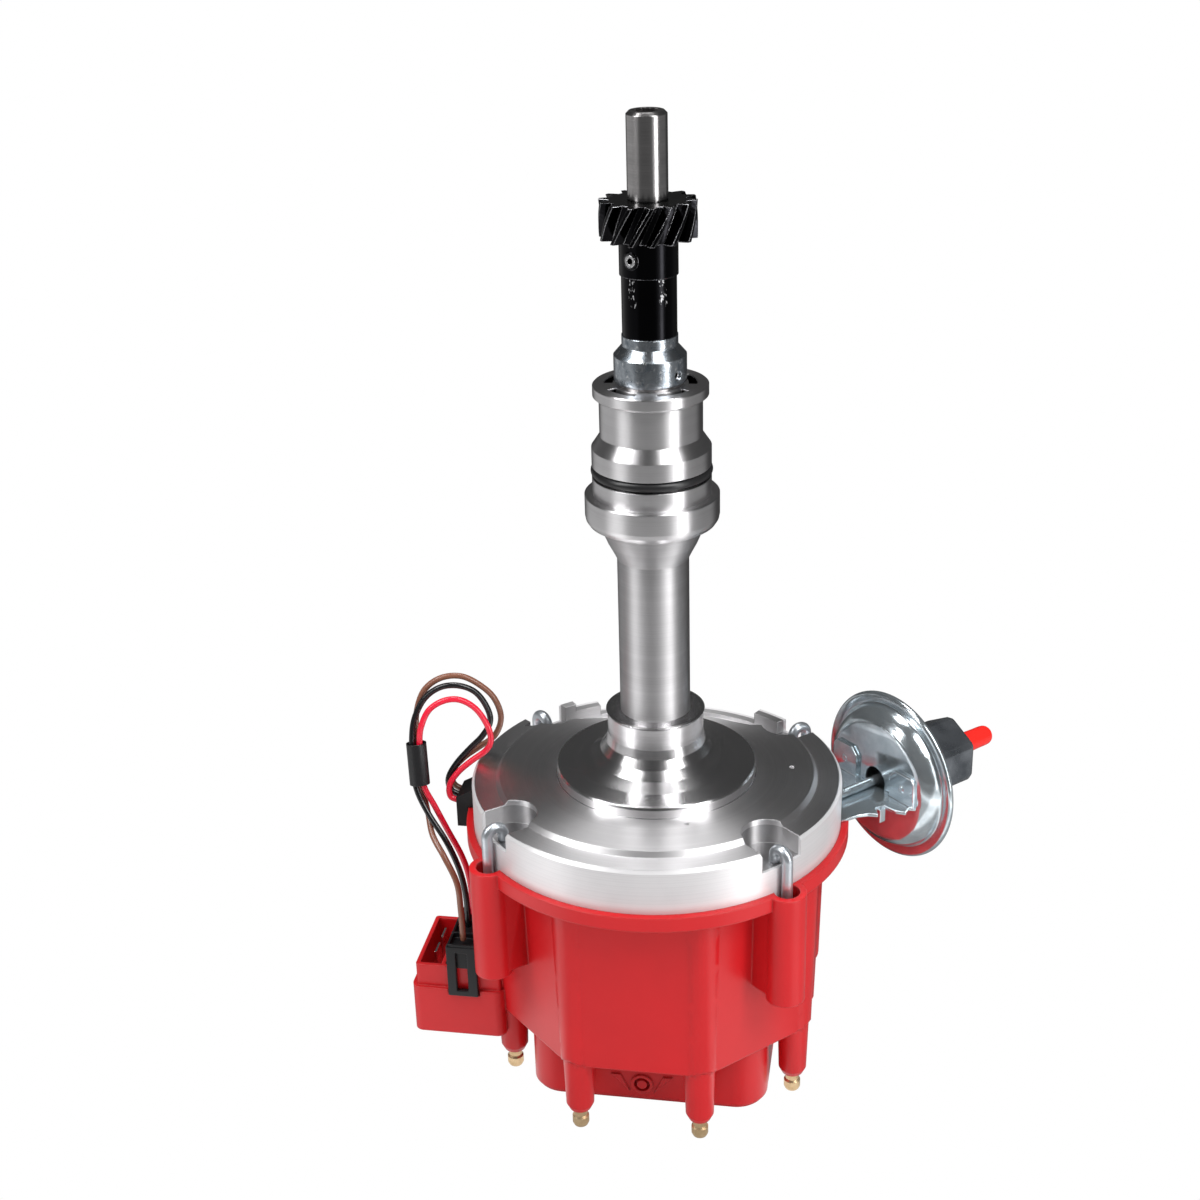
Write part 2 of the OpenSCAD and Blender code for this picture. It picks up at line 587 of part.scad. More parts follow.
// Vacuum advance canister
module vac_front() color("#a9b6bf") can() rev([[5.25, 0], [23.5, 0], [can_r - 5.5, 6.8], [can_r, 6.8],
  [can_r, 10.6], [can_r - 2.5, 10.6], [can_r - 2.5, 9.8], [can_r - 1.1, 9.8], [can_r - 1.1, 7.9],
  [can_r - 6, 7.9], [23, 1.1], [5.25, 1.1]]);
module vac_back() color("#a9b6bf") can() rev([[can_r - 1.1, 8.8], [can_r - 1.1, 9.8], [can_r - 3.5, 9.8],
  [can_r - 7, 20.7], [17, 27.7], [8, 27.7], [8, 26.6], [16.5, 26.6], [can_r - 8, 20], [can_r - 4.5, 8.8]]);
module diaphragm() color("#26272a") can() rev([[3, 7.9], [can_r - 1.1, 7.9], [can_r - 1.1, 8.8], [3, 8.8]]);
module vac_rod() color("#a9b6bf") {
  vac() cyl(1.8, 6, can_s + 10.7);
  can() {
    cyl(12, 6.8, 7.9);
    cyl(12, 8.8, 9.9);
    cyl(3, 7.9, 8.8);
  }
  bowl() rotate([0, 0, 45]) translate([0, -vac_t, vac_z]) difference() {
    union() {
      translate([0, 0, -1.8]) cylinder(r = 4.2, h = 1.8);
      translate([0, 0.5, -1.8]) cylinder(r = 4.2, h = 1.8);
      box([0, -1.8, -1.8], [8, 1.8, 0]);
    }
    translate([0, 0, -5]) cylinder(r = 2 + run + 0.02, h = 10);
    translate([0, 0.62, -5]) cylinder(r = 2 + run + 0.02, h = 10);
    box([-2 - run, 0, -5], [2 + run, 0.62, 5]);
  }
}
module vac_spring() color("#8d9297") can() translate([0, 0, 9.95]) rev(ribs(9.5, 0.9, 0, 16.6, 7));
module vac_port() color("#2d3238") can() difference() {
  union() {
    translate([0, 0, 27.7]) intersection() {
      cylinder(r = 25.4/sqrt(3), h = 20.2, $fn = 6);
      cone(16, 13.6, 0, 20.2);
    }
    cyl(8, 25.3, 27.7);
    cyl(2.9, 47.7, 58.2);
  }
  cyl(1.3, 23.7, 63.7);
}
module vac_cap() color("#e8262e") can() difference() {
  union() {
    cyl(3.75, 48.1, 59.3);
    cone(3.75, 2.4, 59.3, 60.9);
  }
  cyl(2.9 + run, 43.7, 58.4);
}
module vac_bracket() color("#a9b6bf") bowl() rotate([0, 0, 45]) difference() {
  union() {
    translate([0, 0, plate_z - 1.35]) linear_extrude(1.35)
      polygon([[screw_b.x - 4, -50.5], [screw_b.x + 3, -50.5], [screw_b.x + 10, -47], [can_s - 14.3, -47],
        [can_s - 10.3, -52], [can_s, -53.5], [can_s, -14], [can_s - 8.3, -16],
        [can_s - 8.3, -24.8], [can_s - 14.3, -25.5],
        [screw_a.x + 6, -22], [screw_a.x - 6, -22], [screw_b.x - 4, -40]]);
    // two tabs folded up against the canister
    for (t = [-15.1, 11.4]) box([can_s - 1.3, -vac_t + t, -18], [can_s, -vac_t + t + 9, -8.8]);
  }
  for (p = [screw_a, screw_b]) translate([p.x, p.y, -20]) cylinder(r = 1.7, h = 5);
}
// two screws hold the igniter and two hold the canister bracket
module bowl_screws() color("#b9bec3") bowl() {
  for (x = [-24, 24]) translate([x, -47, 0]) pan_screw(-18, -15.8, -3.2);
  for (p = [screw_a, screw_b]) rotate([0, 0, 45]) translate([p.x, p.y, 0]) pan_screw(-20.9, -18.75, -10.5);
}

// Wire harness; route points in the bowl frame
red_path = [[-75.6, -3.5, -17], [-78.4, -3.5, -15.5], [-78.6, -2.8, -11], [-75.4, -1.2, -6.2], [-70.2, 0, -1.6],
  [-64.8, 0.8, 2.6], [-62.6, 1, 7], [-63.6, 0.6, 13.5], [-67.5, 0, 20.5], [-73, -1.4, 24.6],
  [-79, -2.6, 24.4], [-84.6, -3.6, 20.6], [-87.6, -5, 14], [-88.4, -5.6, 7.7], [-88, -7, -1],
  [-87, -8.4, -9.3], [-83.4, -8.8, -17], [-78.6, -9.6, -27], [-73.4, -11, -37], [-70.8, -11.5, -47],
  [-70, -11.5, -62.3]];
black_path = [[-75.6, 0.5, -17], [-79, 0.4, -15], [-80, 1, -10.4], [-76.8, 2, -4.4], [-71.5, 3, 1.8],
  [-66.5, 3.6, 7.2], [-63.2, 4, 13.5], [-64.4, 3.6, 20.2], [-68.4, 3, 26.2], [-74.6, 1.6, 29],
  [-81.2, 0.4, 28.2], [-87, -0.6, 23.6], [-90.6, -3, 16], [-91.4, -5.4, 7.7], [-91, -7.4, -1],
  [-89.6, -9.6, -10], [-84.6, -13, -18.4], [-77.4, -17.2, -27], [-72.4, -19.8, -37], [-70.4, -20, -48],
  [-70, -20, -62.3]];
brown_path = [[-75.6, 4.5, -17], [-79, 4.6, -14.6], [-79.4, 5, -9.6], [-75, 5.8, -4], [-69, 6.8, 0.6],
  [-62.8, 7.6, 5.4], [-60, 8, 13], [-61.8, 7, 21.4], [-66.6, 6, 27.2], [-73.6, 5, 31.2], [-81.4, 3.6, 30.6],
  [-87.8, 2.4, 25.4], [-90.6, 0.2, 16.6], [-90, -2.9, 7.7], [-89.6, -4.6, -1], [-88.8, -6, -10.2],
  [-86, -9.4, -19.4], [-82.6, -16.8, -25], [-76.6, -23.6, -30.2], [-71.4, -27.6, -38.4],
  [-70.2, -29, -48.4], [-70, -29, -62.3]];
sleeve_path = [[-90, -4.7, 7.2], [-88.7, -7.9, -8.4]];
module wire_red() color("#d81c34") bowl() sweep(red_path, wire_r);
module wire_black() color("#18191b") bowl() sweep(black_path, wire_r);
module wire_brown() color("#6b4a3a") bowl() sweep(brown_path, wire_r);
module wire_sleeve() color("#111214") bowl() {
  d = sleeve_path[1] - sleeve_path[0];
  translate(sleeve_path[0]) rotate([0, acos(d.z/norm(d)), atan2(d.y, d.x)])
    tube(3.8, 3.35, 0, norm(d));
}
module plug() color("#17181a") bowl() {
  difference() {
    union() {
      box([-76, -33.2, end_z + 18.4], [-64, -7.4, end_z + 30]);
      box([-76, -28.2, end_z + 8], [-64.2, -8, end_z + 19]);
    }
    for (y = [-24.6, -15.8]) box([-77, y - 0.5, end_z + 28.2], [-63, y + 0.5, end_z + 31]);
  }
  difference() {
    box([-76, -33.2, end_z + 7.1], [-64.4, -31.2, end_z + 19]);
    box([-72.6, -34, end_z + 9.5], [-68, -30, end_z + 17]);
  }
}
module grommet() color("#141517") bowl() {
  box([-grommet_x, -6, -26.8], [-rim_r - 0.05, 7, -18.4]);
  translate([0, 7, 0]) rotate([90, 0, 0]) linear_extrude(13)
    polygon([[-grommet_x, -18.4], [-bowl_r - 0.02, -18.4], [-bowl_r - 0.02, -10.7], [-grommet_x, -14.6]]);
}

housing();
neck();
bush_upper();
bush_lower();
o_ring();
thrust_washer();
thrust_collar();
mainshaft();
spacer_sleeve();
drive_gear();
roll_pins();
timer_core();
weight_plate();
centre_cam();
weight_a();
weight_b();
weight_spring_a();
weight_spring_b();
rotor();
rotor_blade();
rotor_screws();
pickup_plate();
pickup_magnet();
pole_piece();
pickup_coil();
plate_clip();
igniter();
capacitor();
cap();
cap_top();
cap_posts();
cap_hood();
terminals();
coil();
coil_core();
coil_cover();
cover_screws();
brush();
brush_spring();
blades();
latch_fl();
latch_fr();
latch_br();
latch_bl();
latch_springs();
vac_front();
vac_back();
vac_bracket();
bowl_screws();
diaphragm();
vac_rod();
vac_spring();
vac_port();
vac_cap();
wire_red();
wire_black();
wire_brown();
wire_sleeve();
plug();
grommet();
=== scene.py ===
# %% [markdown]
# # An ignition distributor, dressed for its picture
# The CAD model is already exact: every turned step, bore and hook sits where the drawing says.
# What it lacks is what light does to a real part: turning marks in the aluminium, a soft gleam
# on moulded plastic, real wire in the springs. This lesson adds those on top of the CAD frame.
# The drawing is in millimetres and Blender counts in metres, so a small helper goes between.

# %% Load the frame and keep its box
import json
import math

import bmesh
import bpy
from mathutils import Matrix, Vector


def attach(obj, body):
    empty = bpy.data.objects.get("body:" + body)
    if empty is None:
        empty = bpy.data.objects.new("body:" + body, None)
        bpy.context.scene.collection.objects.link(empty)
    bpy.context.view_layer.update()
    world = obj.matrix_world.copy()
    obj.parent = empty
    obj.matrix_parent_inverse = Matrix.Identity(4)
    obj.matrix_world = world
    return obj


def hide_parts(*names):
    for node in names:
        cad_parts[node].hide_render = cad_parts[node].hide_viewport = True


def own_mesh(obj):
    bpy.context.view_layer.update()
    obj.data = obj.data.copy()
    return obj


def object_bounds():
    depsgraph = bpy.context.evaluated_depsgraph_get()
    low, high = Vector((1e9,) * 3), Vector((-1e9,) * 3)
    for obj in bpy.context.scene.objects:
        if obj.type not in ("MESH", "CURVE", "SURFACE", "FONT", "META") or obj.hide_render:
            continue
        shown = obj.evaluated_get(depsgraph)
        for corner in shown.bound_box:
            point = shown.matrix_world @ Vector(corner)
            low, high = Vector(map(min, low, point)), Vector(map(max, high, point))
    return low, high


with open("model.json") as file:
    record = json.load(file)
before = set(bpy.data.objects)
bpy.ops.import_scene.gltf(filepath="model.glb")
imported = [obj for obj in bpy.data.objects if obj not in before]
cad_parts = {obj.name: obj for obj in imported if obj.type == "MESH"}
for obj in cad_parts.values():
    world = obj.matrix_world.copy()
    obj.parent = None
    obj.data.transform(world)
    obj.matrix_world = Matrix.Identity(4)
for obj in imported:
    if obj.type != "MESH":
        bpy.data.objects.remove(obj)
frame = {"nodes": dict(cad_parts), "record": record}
nodes = frame["nodes"]
record = frame["record"]
cad_low, cad_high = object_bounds()
print("CAD box in mm:", [round(1000*v) for v in cad_high - cad_low])

MM = 0.001
BOWL = -109.7  # top face of the bowl in the object's frame, in millimetres


def mm(x, y, z):
    """A point of the drawing, in millimetres, as a Blender vector in metres."""
    return Vector((x*MM, y*MM, z*MM))


def stand(name, data):
    """A new object that holds a mesh, a curve, a light or a camera, put into the scene."""
    item = bpy.data.objects.new(name, data)
    bpy.context.scene.collection.objects.link(item)
    return item


# %% [markdown]
# ## The camera
# The photograph was taken from a little above, with a lens of moderate length, and the camera
# leaned over by a degree and a half. These angles were worked out from the turned rings: a
# circle seen at an angle is an ellipse, and its shape gives the tilt. The camera is built from
# three directions (forward, right and up), because that takes roll in without any guessing.

# %% Make the camera
PHOTO = 1200  # pixels along each side of the photograph
LENS, SENSOR = 56.0, 36.0  # focal length and width of the film, in millimetres
CAMERA_PLACE = (0.08954, -0.59909, 0.22947)
pan, tilt, roll = math.radians(-1.807), math.radians(24.067), math.radians(-1.594)
forward = Vector((math.sin(pan)*math.cos(tilt), math.cos(pan)*math.cos(tilt), -math.sin(tilt)))
level = Vector((math.cos(pan), -math.sin(pan), 0))
upright = level.cross(forward)
right = math.cos(roll)*level + math.sin(roll)*upright
up = -math.sin(roll)*level + math.cos(roll)*upright
# the part stands turned on the table by this much, so the camera goes round it instead
turn = Matrix.Rotation(math.radians(8.5), 3, "Z")
right, up, forward = turn @ right, turn @ up, turn @ forward

camera = stand("camera", bpy.data.cameras.new("camera"))
camera.data.lens, camera.data.sensor_width = LENS, SENSOR
camera.data.clip_start = 0.01
camera.matrix_world = Matrix.Translation(CAMERA_PLACE) @ Matrix(
    (right, up, -forward)).transposed().to_4x4()
bpy.context.scene.camera = camera


def pixel(point):
    """Where a point lands in the photograph."""
    local = camera.matrix_world.inverted() @ Vector(point)
    scale = LENS/SENSOR*PHOTO/-local.z
    return round(PHOTO/2 + local.x*scale, 1), round(PHOTO/2 - local.y*scale, 1)


for height in (129, -111, -231):
    print("shaft axis at", height, "mm lands at", pixel(mm(0, 0, height)))


# %% [markdown]
# ## The cords
# Three leads leave the rubber grommet in the side of the bowl, loop up over its rim, pass
# together through a short black shrink sleeve and go down into the plug on the cap. The whole
# of each lead shows in the photograph, so its length is the length of that loop. A tube could
# be swept by hand, but a curve with a round bevel does it in one step: an open line that carries
# its own thickness. The route's points come from the drawing, and a Catmull-Rom curve through
# them keeps the bends soft. The finished line becomes a plain mesh, so its box can be measured.

# %% A soft line through points, and an object made plain
def smooth(points, steps=6):
    """A Catmull-Rom line through the points, with steps short pieces for each span."""
    ends = [2*points[0] - points[1]] + points + [2*points[-1] - points[-2]]
    line = []
    for i in range(1, len(ends) - 2):
        a, b, c, d = ends[i - 1:i + 3]
        for k in range(steps):
            t = k/steps
            line.append(0.5*((2*b) + (c - a)*t + (2*a - 5*b + 4*c - d)*t*t
                             + (3*b - a - 3*c + d)*t**3))
    return line + [points[-1]]


def plain_mesh(item):
    """The mesh that an object's curve or modifiers make; the object itself is taken away."""
    bpy.context.view_layer.update()
    ready = item.evaluated_get(bpy.context.evaluated_depsgraph_get())
    mesh = bpy.data.meshes.new_from_object(ready)
    bpy.data.objects.remove(item)
    return mesh


# %% Route the three leads
LEAD_D = 2.3*MM
# points from grommet to plug, in millimetres, with heights counted from the top of the bowl
RED_ROUTE = [
    (-75.6, -3.5, -17), (-78.4, -3.5, -15.5), (-78.6, -2.8, -11), (-75.4, -1.2, -6.2),
    (-70.2, 0, -1.6), (-64.8, 0.8, 2.6), (-62.6, 1, 7), (-63.6, 0.6, 13.5), (-67.5, 0, 20.5),
    (-73, -1.4, 24.6), (-79, -2.6, 24.4), (-84.6, -3.6, 20.6), (-87.6, -5, 14),
    (-88.4, -5.6, 7.7), (-88, -7, -1), (-87, -8.4, -9.3), (-83.4, -8.8, -17),
    (-78.6, -9.6, -27), (-73.4, -11, -37), (-70.8, -11.5, -47), (-70, -11.5, -62.3)]
BLACK_ROUTE = [
    (-75.6, 0.5, -17), (-79, 0.4, -15), (-80, 1, -10.4), (-76.8, 2, -4.4), (-71.5, 3, 1.8),
    (-66.5, 3.6, 7.2), (-63.2, 4, 13.5), (-64.4, 3.6, 20.2), (-68.4, 3, 26.2),
    (-74.6, 1.6, 29), (-81.2, 0.4, 28.2), (-87, -0.6, 23.6), (-90.6, -3, 16),
    (-91.4, -5.4, 7.7), (-91, -7.4, -1), (-89.6, -9.6, -10), (-84.6, -13, -18.4),
    (-77.4, -17.2, -27), (-72.4, -19.8, -37), (-70.4, -20, -48), (-70, -20, -62.3)]
BROWN_ROUTE = [
    (-75.6, 4.5, -17), (-79, 4.6, -14.6), (-79.4, 5, -9.6), (-75, 5.8, -4), (-69, 6.8, 0.6),
    (-62.8, 7.6, 5.4), (-60, 8, 13), (-61.8, 7, 21.4), (-66.6, 6, 27.2), (-73.6, 5, 31.2),
    (-81.4, 3.6, 30.6), (-87.8, 2.4, 25.4), (-90.6, 0.2, 16.6), (-90, -2.9, 7.7),
    (-89.6, -4.6, -1), (-88.8, -6, -10.2), (-86, -9.4, -19.4), (-82.6, -16.8, -25),
    (-76.6, -23.6, -30.2), (-71.4, -27.6, -38.4), (-70.2, -29, -48.4), (-70, -29, -62.3)]


def lead(name, route, node):
    """One wire along its route, a round tube that takes the place of its CAD node."""
    line = smooth([mm(x, y, z + BOWL) for x, y, z in route])
    curve = bpy.data.curves.new(name, "CURVE")
    curve.dimensions = "3D"
    curve.bevel_depth, curve.bevel_resolution = LEAD_D/2, 4
    curve.use_fill_caps = True
    spline = curve.splines.new("POLY")
    spline.points.add(len(line) - 1)
    for point, place in zip(spline.points, line):
        point.co = (*place, 1)
    spline.use_smooth = True
    mesh = plain_mesh(stand(name + "_line", curve))
    mesh.name = name
    piece = stand(name, mesh)
    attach(piece, "body")
    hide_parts(node)
    return piece


red_lead = lead("red_lead", RED_ROUTE, "wire_red")
black_lead = lead("black_lead", BLACK_ROUTE, "wire_black")
brown_lead = lead("brown_lead", BROWN_ROUTE, "wire_brown")

# %% [markdown]
# ## Node trees in short calls
# Every finish, the table and the sky are graphs of nodes. They could be drawn by hand in the
# shader editor, but then nobody could read or repeat them, and a script that writes each node
# out in full is long. One helper adds a node, joins two sockets and does the usual sums, so that
# each tree reads like a recipe.

# %% A helper that grows a node tree
class Tree:
    """Adds nodes from left to right and joins them with short calls."""

    def __init__(self, tree):
        self.tree, self.count = tree, 0

    def add(self, kind, **settings):
        """A new node of one kind, with its settings."""
        node = self.tree.nodes.new(kind)
        node.location = (180*self.count, -60*(self.count % 5))
        self.count += 1
        for key, value in settings.items():
            setattr(node, key, value)
        return node

    def join(self, source, target):
        """A link from an output to an input."""
        self.tree.links.new(source, target)

    def put(self, value, socket):
        """Gives an input a number, or joins an output to it."""
        if isinstance(value, (int, float)):
            socket.default_value = value
        else:
            self.join(value, socket)

    def math(self, kind, a, b=None):
        """One sum on one or two numbers or sockets."""
        node = self.add("ShaderNodeMath", operation=kind)
        self.put(a, node.inputs[0])
        if b is not None:
            self.put(b, node.inputs[1])
        return node.outputs[0]

    def plus(self, a, b):
        """Two values added."""
        return self.math("ADD", a, b)

    def times(self, a, b):
        """Two values multiplied."""
        return self.math("MULTIPLY", a, b)

    def off(self, value, middle):
        """How far a value lies from a middle, to either side."""
        return self.math("ABSOLUTE", self.math("SUBTRACT", value, middle))

    def within(self, value, low, high):
        """One where a value lies from low to high, and nought elsewhere."""
        return self.times(self.math("GREATER_THAN", value, low),
                          self.math("LESS_THAN", value, high))

    def clamped(self, value):
        """A value held between nought and one."""
        return self.math("MINIMUM", self.math("MAXIMUM", value, 0.0), 1.0)

    def fade(self, value, low_in, high_in, low_out, high_out):
        """Turns a range of one value into a range of another, with soft ends."""
        node = self.add("ShaderNodeMapRange", interpolation_type="SMOOTHSTEP")
        for label, number in (("From Min", low_in), ("From Max", high_in),
                              ("To Min", low_out), ("To Max", high_out)):
            node.inputs[label].default_value = number
        self.join(value, node.inputs["Value"])
        return node.outputs["Result"]

    def between(self, fac, a, b):
        """A value that goes from a to b as fac goes from 0 to 1."""
        node = self.add("ShaderNodeMapRange")
        node.inputs["To Min"].default_value, node.inputs["To Max"].default_value = a, b
        self.join(fac, node.inputs["Value"])
        return node.outputs["Result"]

    def place(self):
        """Where a point of the object is: the whole place, and its x, y and z."""
        whole = self.add("ShaderNodeTexCoord").outputs["Object"]
        split = self.add("ShaderNodeSeparateXYZ")
        self.join(whole, split.inputs[0])
        x, y, z = split.outputs
        return whole, x, y, z

    def reach_2(self, x, y):
        """The square of the distance from the shaft's axis."""
        return self.plus(self.times(x, x), self.times(y, y))

    def bearing(self, x, y):
        """The angle round the shaft: nought at the front, and growing to the right."""
        return self.math("ARCTAN2", x, self.times(y, -1.0))

    def colour(self, mask, under, over):
        """The colour under, or over where the mask is one. Each is a colour or a socket."""
        node = self.add("ShaderNodeMix", data_type="RGBA")
        self.join(mask, node.inputs["Factor"])
        for paint, socket in ((under, node.inputs[6]), (over, node.inputs[7])):
            if isinstance(paint, tuple):
                socket.default_value = (*paint, 1)
            else:
                self.join(paint, socket)
        return node.outputs[2]

    def seen_by(self, rays, kind, usual, special):
        """The usual shader, with a special one for one kind of ray."""
        blend = self.add("ShaderNodeMixShader")
        self.join(rays.outputs[kind], blend.inputs["Fac"])
        self.join(usual, blend.inputs[1])
        self.join(special, blend.inputs[2])
        return blend.outputs[0]


def new_material(name):
    """A new material, as (material, its tree, its main shader)."""
    material = bpy.data.materials.new(name)
    material.use_nodes = True
    return material, Tree(material.node_tree), material.node_tree.nodes["Principled BSDF"]


# %% [markdown]
# ## The floor and the light
# A product photographer lights bare metal with large soft boxes and leaves dark gaps between
# them, because a turned shaft is a mirror wrapped round a circle: it shows bright bands where
# the boxes are and dark bands where they are not. The camera looks down, so an upright wall
# mirrors the table, not the room. Real cards could be laid out on the table, but the camera would
# see them. So the paper has its own pattern: white to the camera, and in mirrors bright sectors
# to both sides of a darker middle.

# %% Lay the table
TABLE_FRONT, TABLE_FAR, TABLE_BACK = 0.34, 0.07, 0.05  # light in mirrors: near, far and behind
NEAR_GLOW, CLOSE_SHADE = 1.2, 0.35  # a bright ring, and the share left at the foot of the part
# distances from the shaft between which each of them gives way, in metres
CLOSE_ENDS, GLOW_ENDS = (0.22, 0.30), (0.33, 0.38)
FRONT_ENDS, SECTOR_ENDS = (0.42, 0.55), (0.5, 0.85)
FRONT_BEARING, FRONT_FADES = 0.1, (1.1, 1.7)  # in radians
# bearing and half width in radians, strength, share of it that is left far out
TABLE_SECTORS = [(-1.0, 0.42, 0.75, 0.25), (0.98, 0.34, 0.70, 0.8), (-1.85, 0.75, 0.45, 0.8),
                 (1.9, 0.6, 0.26, 0.5)]
SECTOR_CORE = 0.45  # share of a sector's width that has its full strength
FLOOR_SIZE, FLOOR_GAP = 30.0, 0.0002  # in metres

low = cad_low.z - FLOOR_GAP
floor_mesh = bpy.data.meshes.new("floor")
floor_mesh.from_pydata([(x*FLOOR_SIZE, y*FLOOR_SIZE, low)
                        for x, y in ((-1, -1), (1, -1), (1, 1), (-1, 1))], [], [(0, 1, 2, 3)])
floor = stand("floor", floor_mesh)
paper, table, matt = new_material("floor_paper")
matt.inputs["Base Color"].default_value = (0.80, 0.80, 0.80, 1)
matt.inputs["Roughness"].default_value = 0.9
matt.inputs["Specular IOR Level"].default_value = 0.0
_, x, y, _ = table.place()
reach, bearing = table.math("SQRT", table.reach_2(x, y)), table.bearing(x, y)
front = table.fade(table.off(bearing, FRONT_BEARING), *FRONT_FADES, 1.0, 0.0)
light = table.plus(TABLE_BACK, table.times(front, table.fade(reach, *FRONT_ENDS, TABLE_FRONT,
                                                             TABLE_FAR)))
light = table.math("MAXIMUM", light, table.times(
    front, table.fade(reach, *GLOW_ENDS, NEAR_GLOW, 0.0)))
light = table.times(light, table.fade(reach, *CLOSE_ENDS, CLOSE_SHADE, 1.0))
for middle, half, strength, far in TABLE_SECTORS:
    sector = table.fade(table.off(bearing, middle), half*SECTOR_CORE, half, strength, 0.0)
    light = table.plus(light, table.times(sector, table.fade(reach, *SECTOR_ENDS, 1.0, far)))
glow, white = table.add("ShaderNodeEmission"), table.add("ShaderNodeEmission")
table.join(light, glow.inputs["Strength"])
rays = table.add("ShaderNodeLightPath")
surface = table.seen_by(rays, "Is Glossy Ray", matt.outputs[0], glow.outputs[0])
surface = table.seen_by(rays, "Is Camera Ray", surface, white.outputs[0])
table.join(surface, paper.node_tree.nodes["Material Output"].inputs["Surface"])
floor.data.materials.append(paper)
print("floor at", round(low/MM, 1), "mm, with", len(TABLE_SECTORS), "light sectors")


# %% Hang the soft boxes
LIT_SPOT = (0, 0, -0.02)


def soft_box(name, place, width, height, power):
    """A rectangular area light that faces the hub and that the camera itself does not see."""
    light = bpy.data.lights.new(name, "AREA")
    light.shape = "RECTANGLE"
    light.size, light.size_y = width, height
    light.energy = power
    lamp = stand(name, light)
    facing = (Vector(LIT_SPOT) - Vector(place)).to_track_quat("-Z", "Y")
    lamp.matrix_world = Matrix.Translation(place) @ facing.to_matrix().to_4x4()
    lamp.visible_camera = False


def around(bearing, distance, height):
    """A place at a bearing from the front, in degrees to the right, as seen from above."""
    angle = math.radians(bearing)
    return math.sin(angle)*distance, -math.cos(angle)*distance, height


# name, place, width and height in metres, power in watts
BOXES = [
    ("box_left", around(-58, 0.62, 0.27), 0.16, 0.3, 0.7),
    ("box_right", around(60, 0.62, 0.14), 0.14, 0.7, 1.8),
    ("box_high_left", around(-60, 0.52, 0.62), 0.34, 0.5, 3.4),
    ("box_high_right", around(52, 0.52, 0.62), 0.30, 0.5, 3.4),
    ("box_top", around(190, 0.25, 0.95), 0.42, 0.3, 3.6),
]
for box in BOXES:
    soft_box(*box)
print("soft boxes:", len(BOXES))

# %% [markdown]
# ## The sky
# The room behind the photographer is dim: only a little of it shows in the metal, while the
# camera sees plain white paper all round. One background cannot be both, so the sky holds three,
# and the kind of ray chooses between them. That is simpler than building a room.

# %% Colour the sky
SKY_SOFT, SKY_MIRRORED, SKY_SEEN = 0.5, 0.05, 1.0
world = bpy.data.worlds.new("studio")
bpy.context.scene.world = world
world.use_nodes = True
world.node_tree.nodes.clear()
sky = Tree(world.node_tree)
shades = []
for strength in (SKY_SOFT, SKY_MIRRORED, SKY_SEEN):
    shade = sky.add("ShaderNodeBackground")
    shade.inputs["Color"].default_value = (1, 1, 1, 1)
    shade.inputs["Strength"].default_value = strength
    shades.append(shade.outputs[0])
rays = sky.add("ShaderNodeLightPath")
seen = sky.seen_by(rays, "Is Glossy Ray", shades[0], shades[1])
seen = sky.seen_by(rays, "Is Camera Ray", seen, shades[2])
sky.join(seen, sky.add("ShaderNodeOutputWorld").inputs["Surface"])
bpy.context.scene.view_settings.view_transform = "Standard"
print("sky strengths:", SKY_SOFT, SKY_MIRRORED, SKY_SEEN)

# %% [markdown]
# ## Effects that several finishes share
# Edge wear, which also paints highlights along edges, turning marks and grain turn up in one
# finish after another. Copying their nodes into each material would work, but a change would
# then have to be made twenty times. So each is built once as a node group with named inputs, and
# every material places it with its own numbers. The groups only put out values, masks and
# normals; the shader itself stays in the material.


# %% A new group of shader nodes
def new_group(name, inputs, outputs):
    """An empty shader group with its named sockets, as (group, tree, inlet, outlet)."""
    group = bpy.data.node_groups.new(name, "ShaderNodeTree")
    for label, value in inputs.items():
        socket = group.interface.new_socket(name=label, in_out="INPUT",
                                            socket_type="NodeSocketFloat")
        socket.default_value = value
    for label, kind in outputs.items():
        group.interface.new_socket(name=label, in_out="OUTPUT", socket_type=kind)
    tree = Tree(group)
    return group, tree, tree.add("NodeGroupInput"), tree.add("NodeGroupOutput")


# %% Edge wear and glint: a mask that is one on a sharp edge, for wear and painted highlights
WEAR_AND_GLINT_GAIN = 6.0


def make_edge_wear_and_glint():
    """The normal with its edges rounded, and where that differs from the true one: the mask that
    paints edge wear and edge highlights.
    """
    group, tree, inlet, outlet = new_group(
        "edge_wear_and_glint", {"Width": 0.0004, "Breakup": 900.0},
        {"Mask": "NodeSocketFloat", "Normal": "NodeSocketVector"})
    rounded_edge = tree.add("ShaderNodeBevel", samples=4)
    tree.join(inlet.outputs["Width"], rounded_edge.inputs["Radius"])
    flat = tree.add("ShaderNodeNewGeometry")
    dot = tree.add("ShaderNodeVectorMath", operation="DOT_PRODUCT")
    tree.join(rounded_edge.outputs["Normal"], dot.inputs[0])
    tree.join(flat.outputs["Normal"], dot.inputs[1])
    away = tree.math("SUBTRACT", 1.0, dot.outputs["Value"])
    noise = tree.add("ShaderNodeTexNoise")
    tree.join(tree.add("ShaderNodeTexCoord").outputs["Object"], noise.inputs["Vector"])
    tree.join(inlet.outputs["Breakup"], noise.inputs["Scale"])
    wear_and_glint_mask = tree.times(tree.times(away, WEAR_AND_GLINT_GAIN), noise.outputs["Fac"])
    tree.join(tree.math("MINIMUM", wear_and_glint_mask, 1.0), outlet.inputs["Mask"])
    tree.join(rounded_edge.outputs["Normal"], outlet.inputs["Normal"])
    return group


EDGE_WEAR_AND_GLINT = make_edge_wear_and_glint()
print("made the group", EDGE_WEAR_AND_GLINT.name)

# %% Turning marks: fine rings that follow the shaft axis
TOOL_SLOPE = 0.83  # how much the height counts beside the radius, so that a wall has rings too
FINE_SHARE = 0.4  # share of the fine rings in the shade; the broad ones have the rest


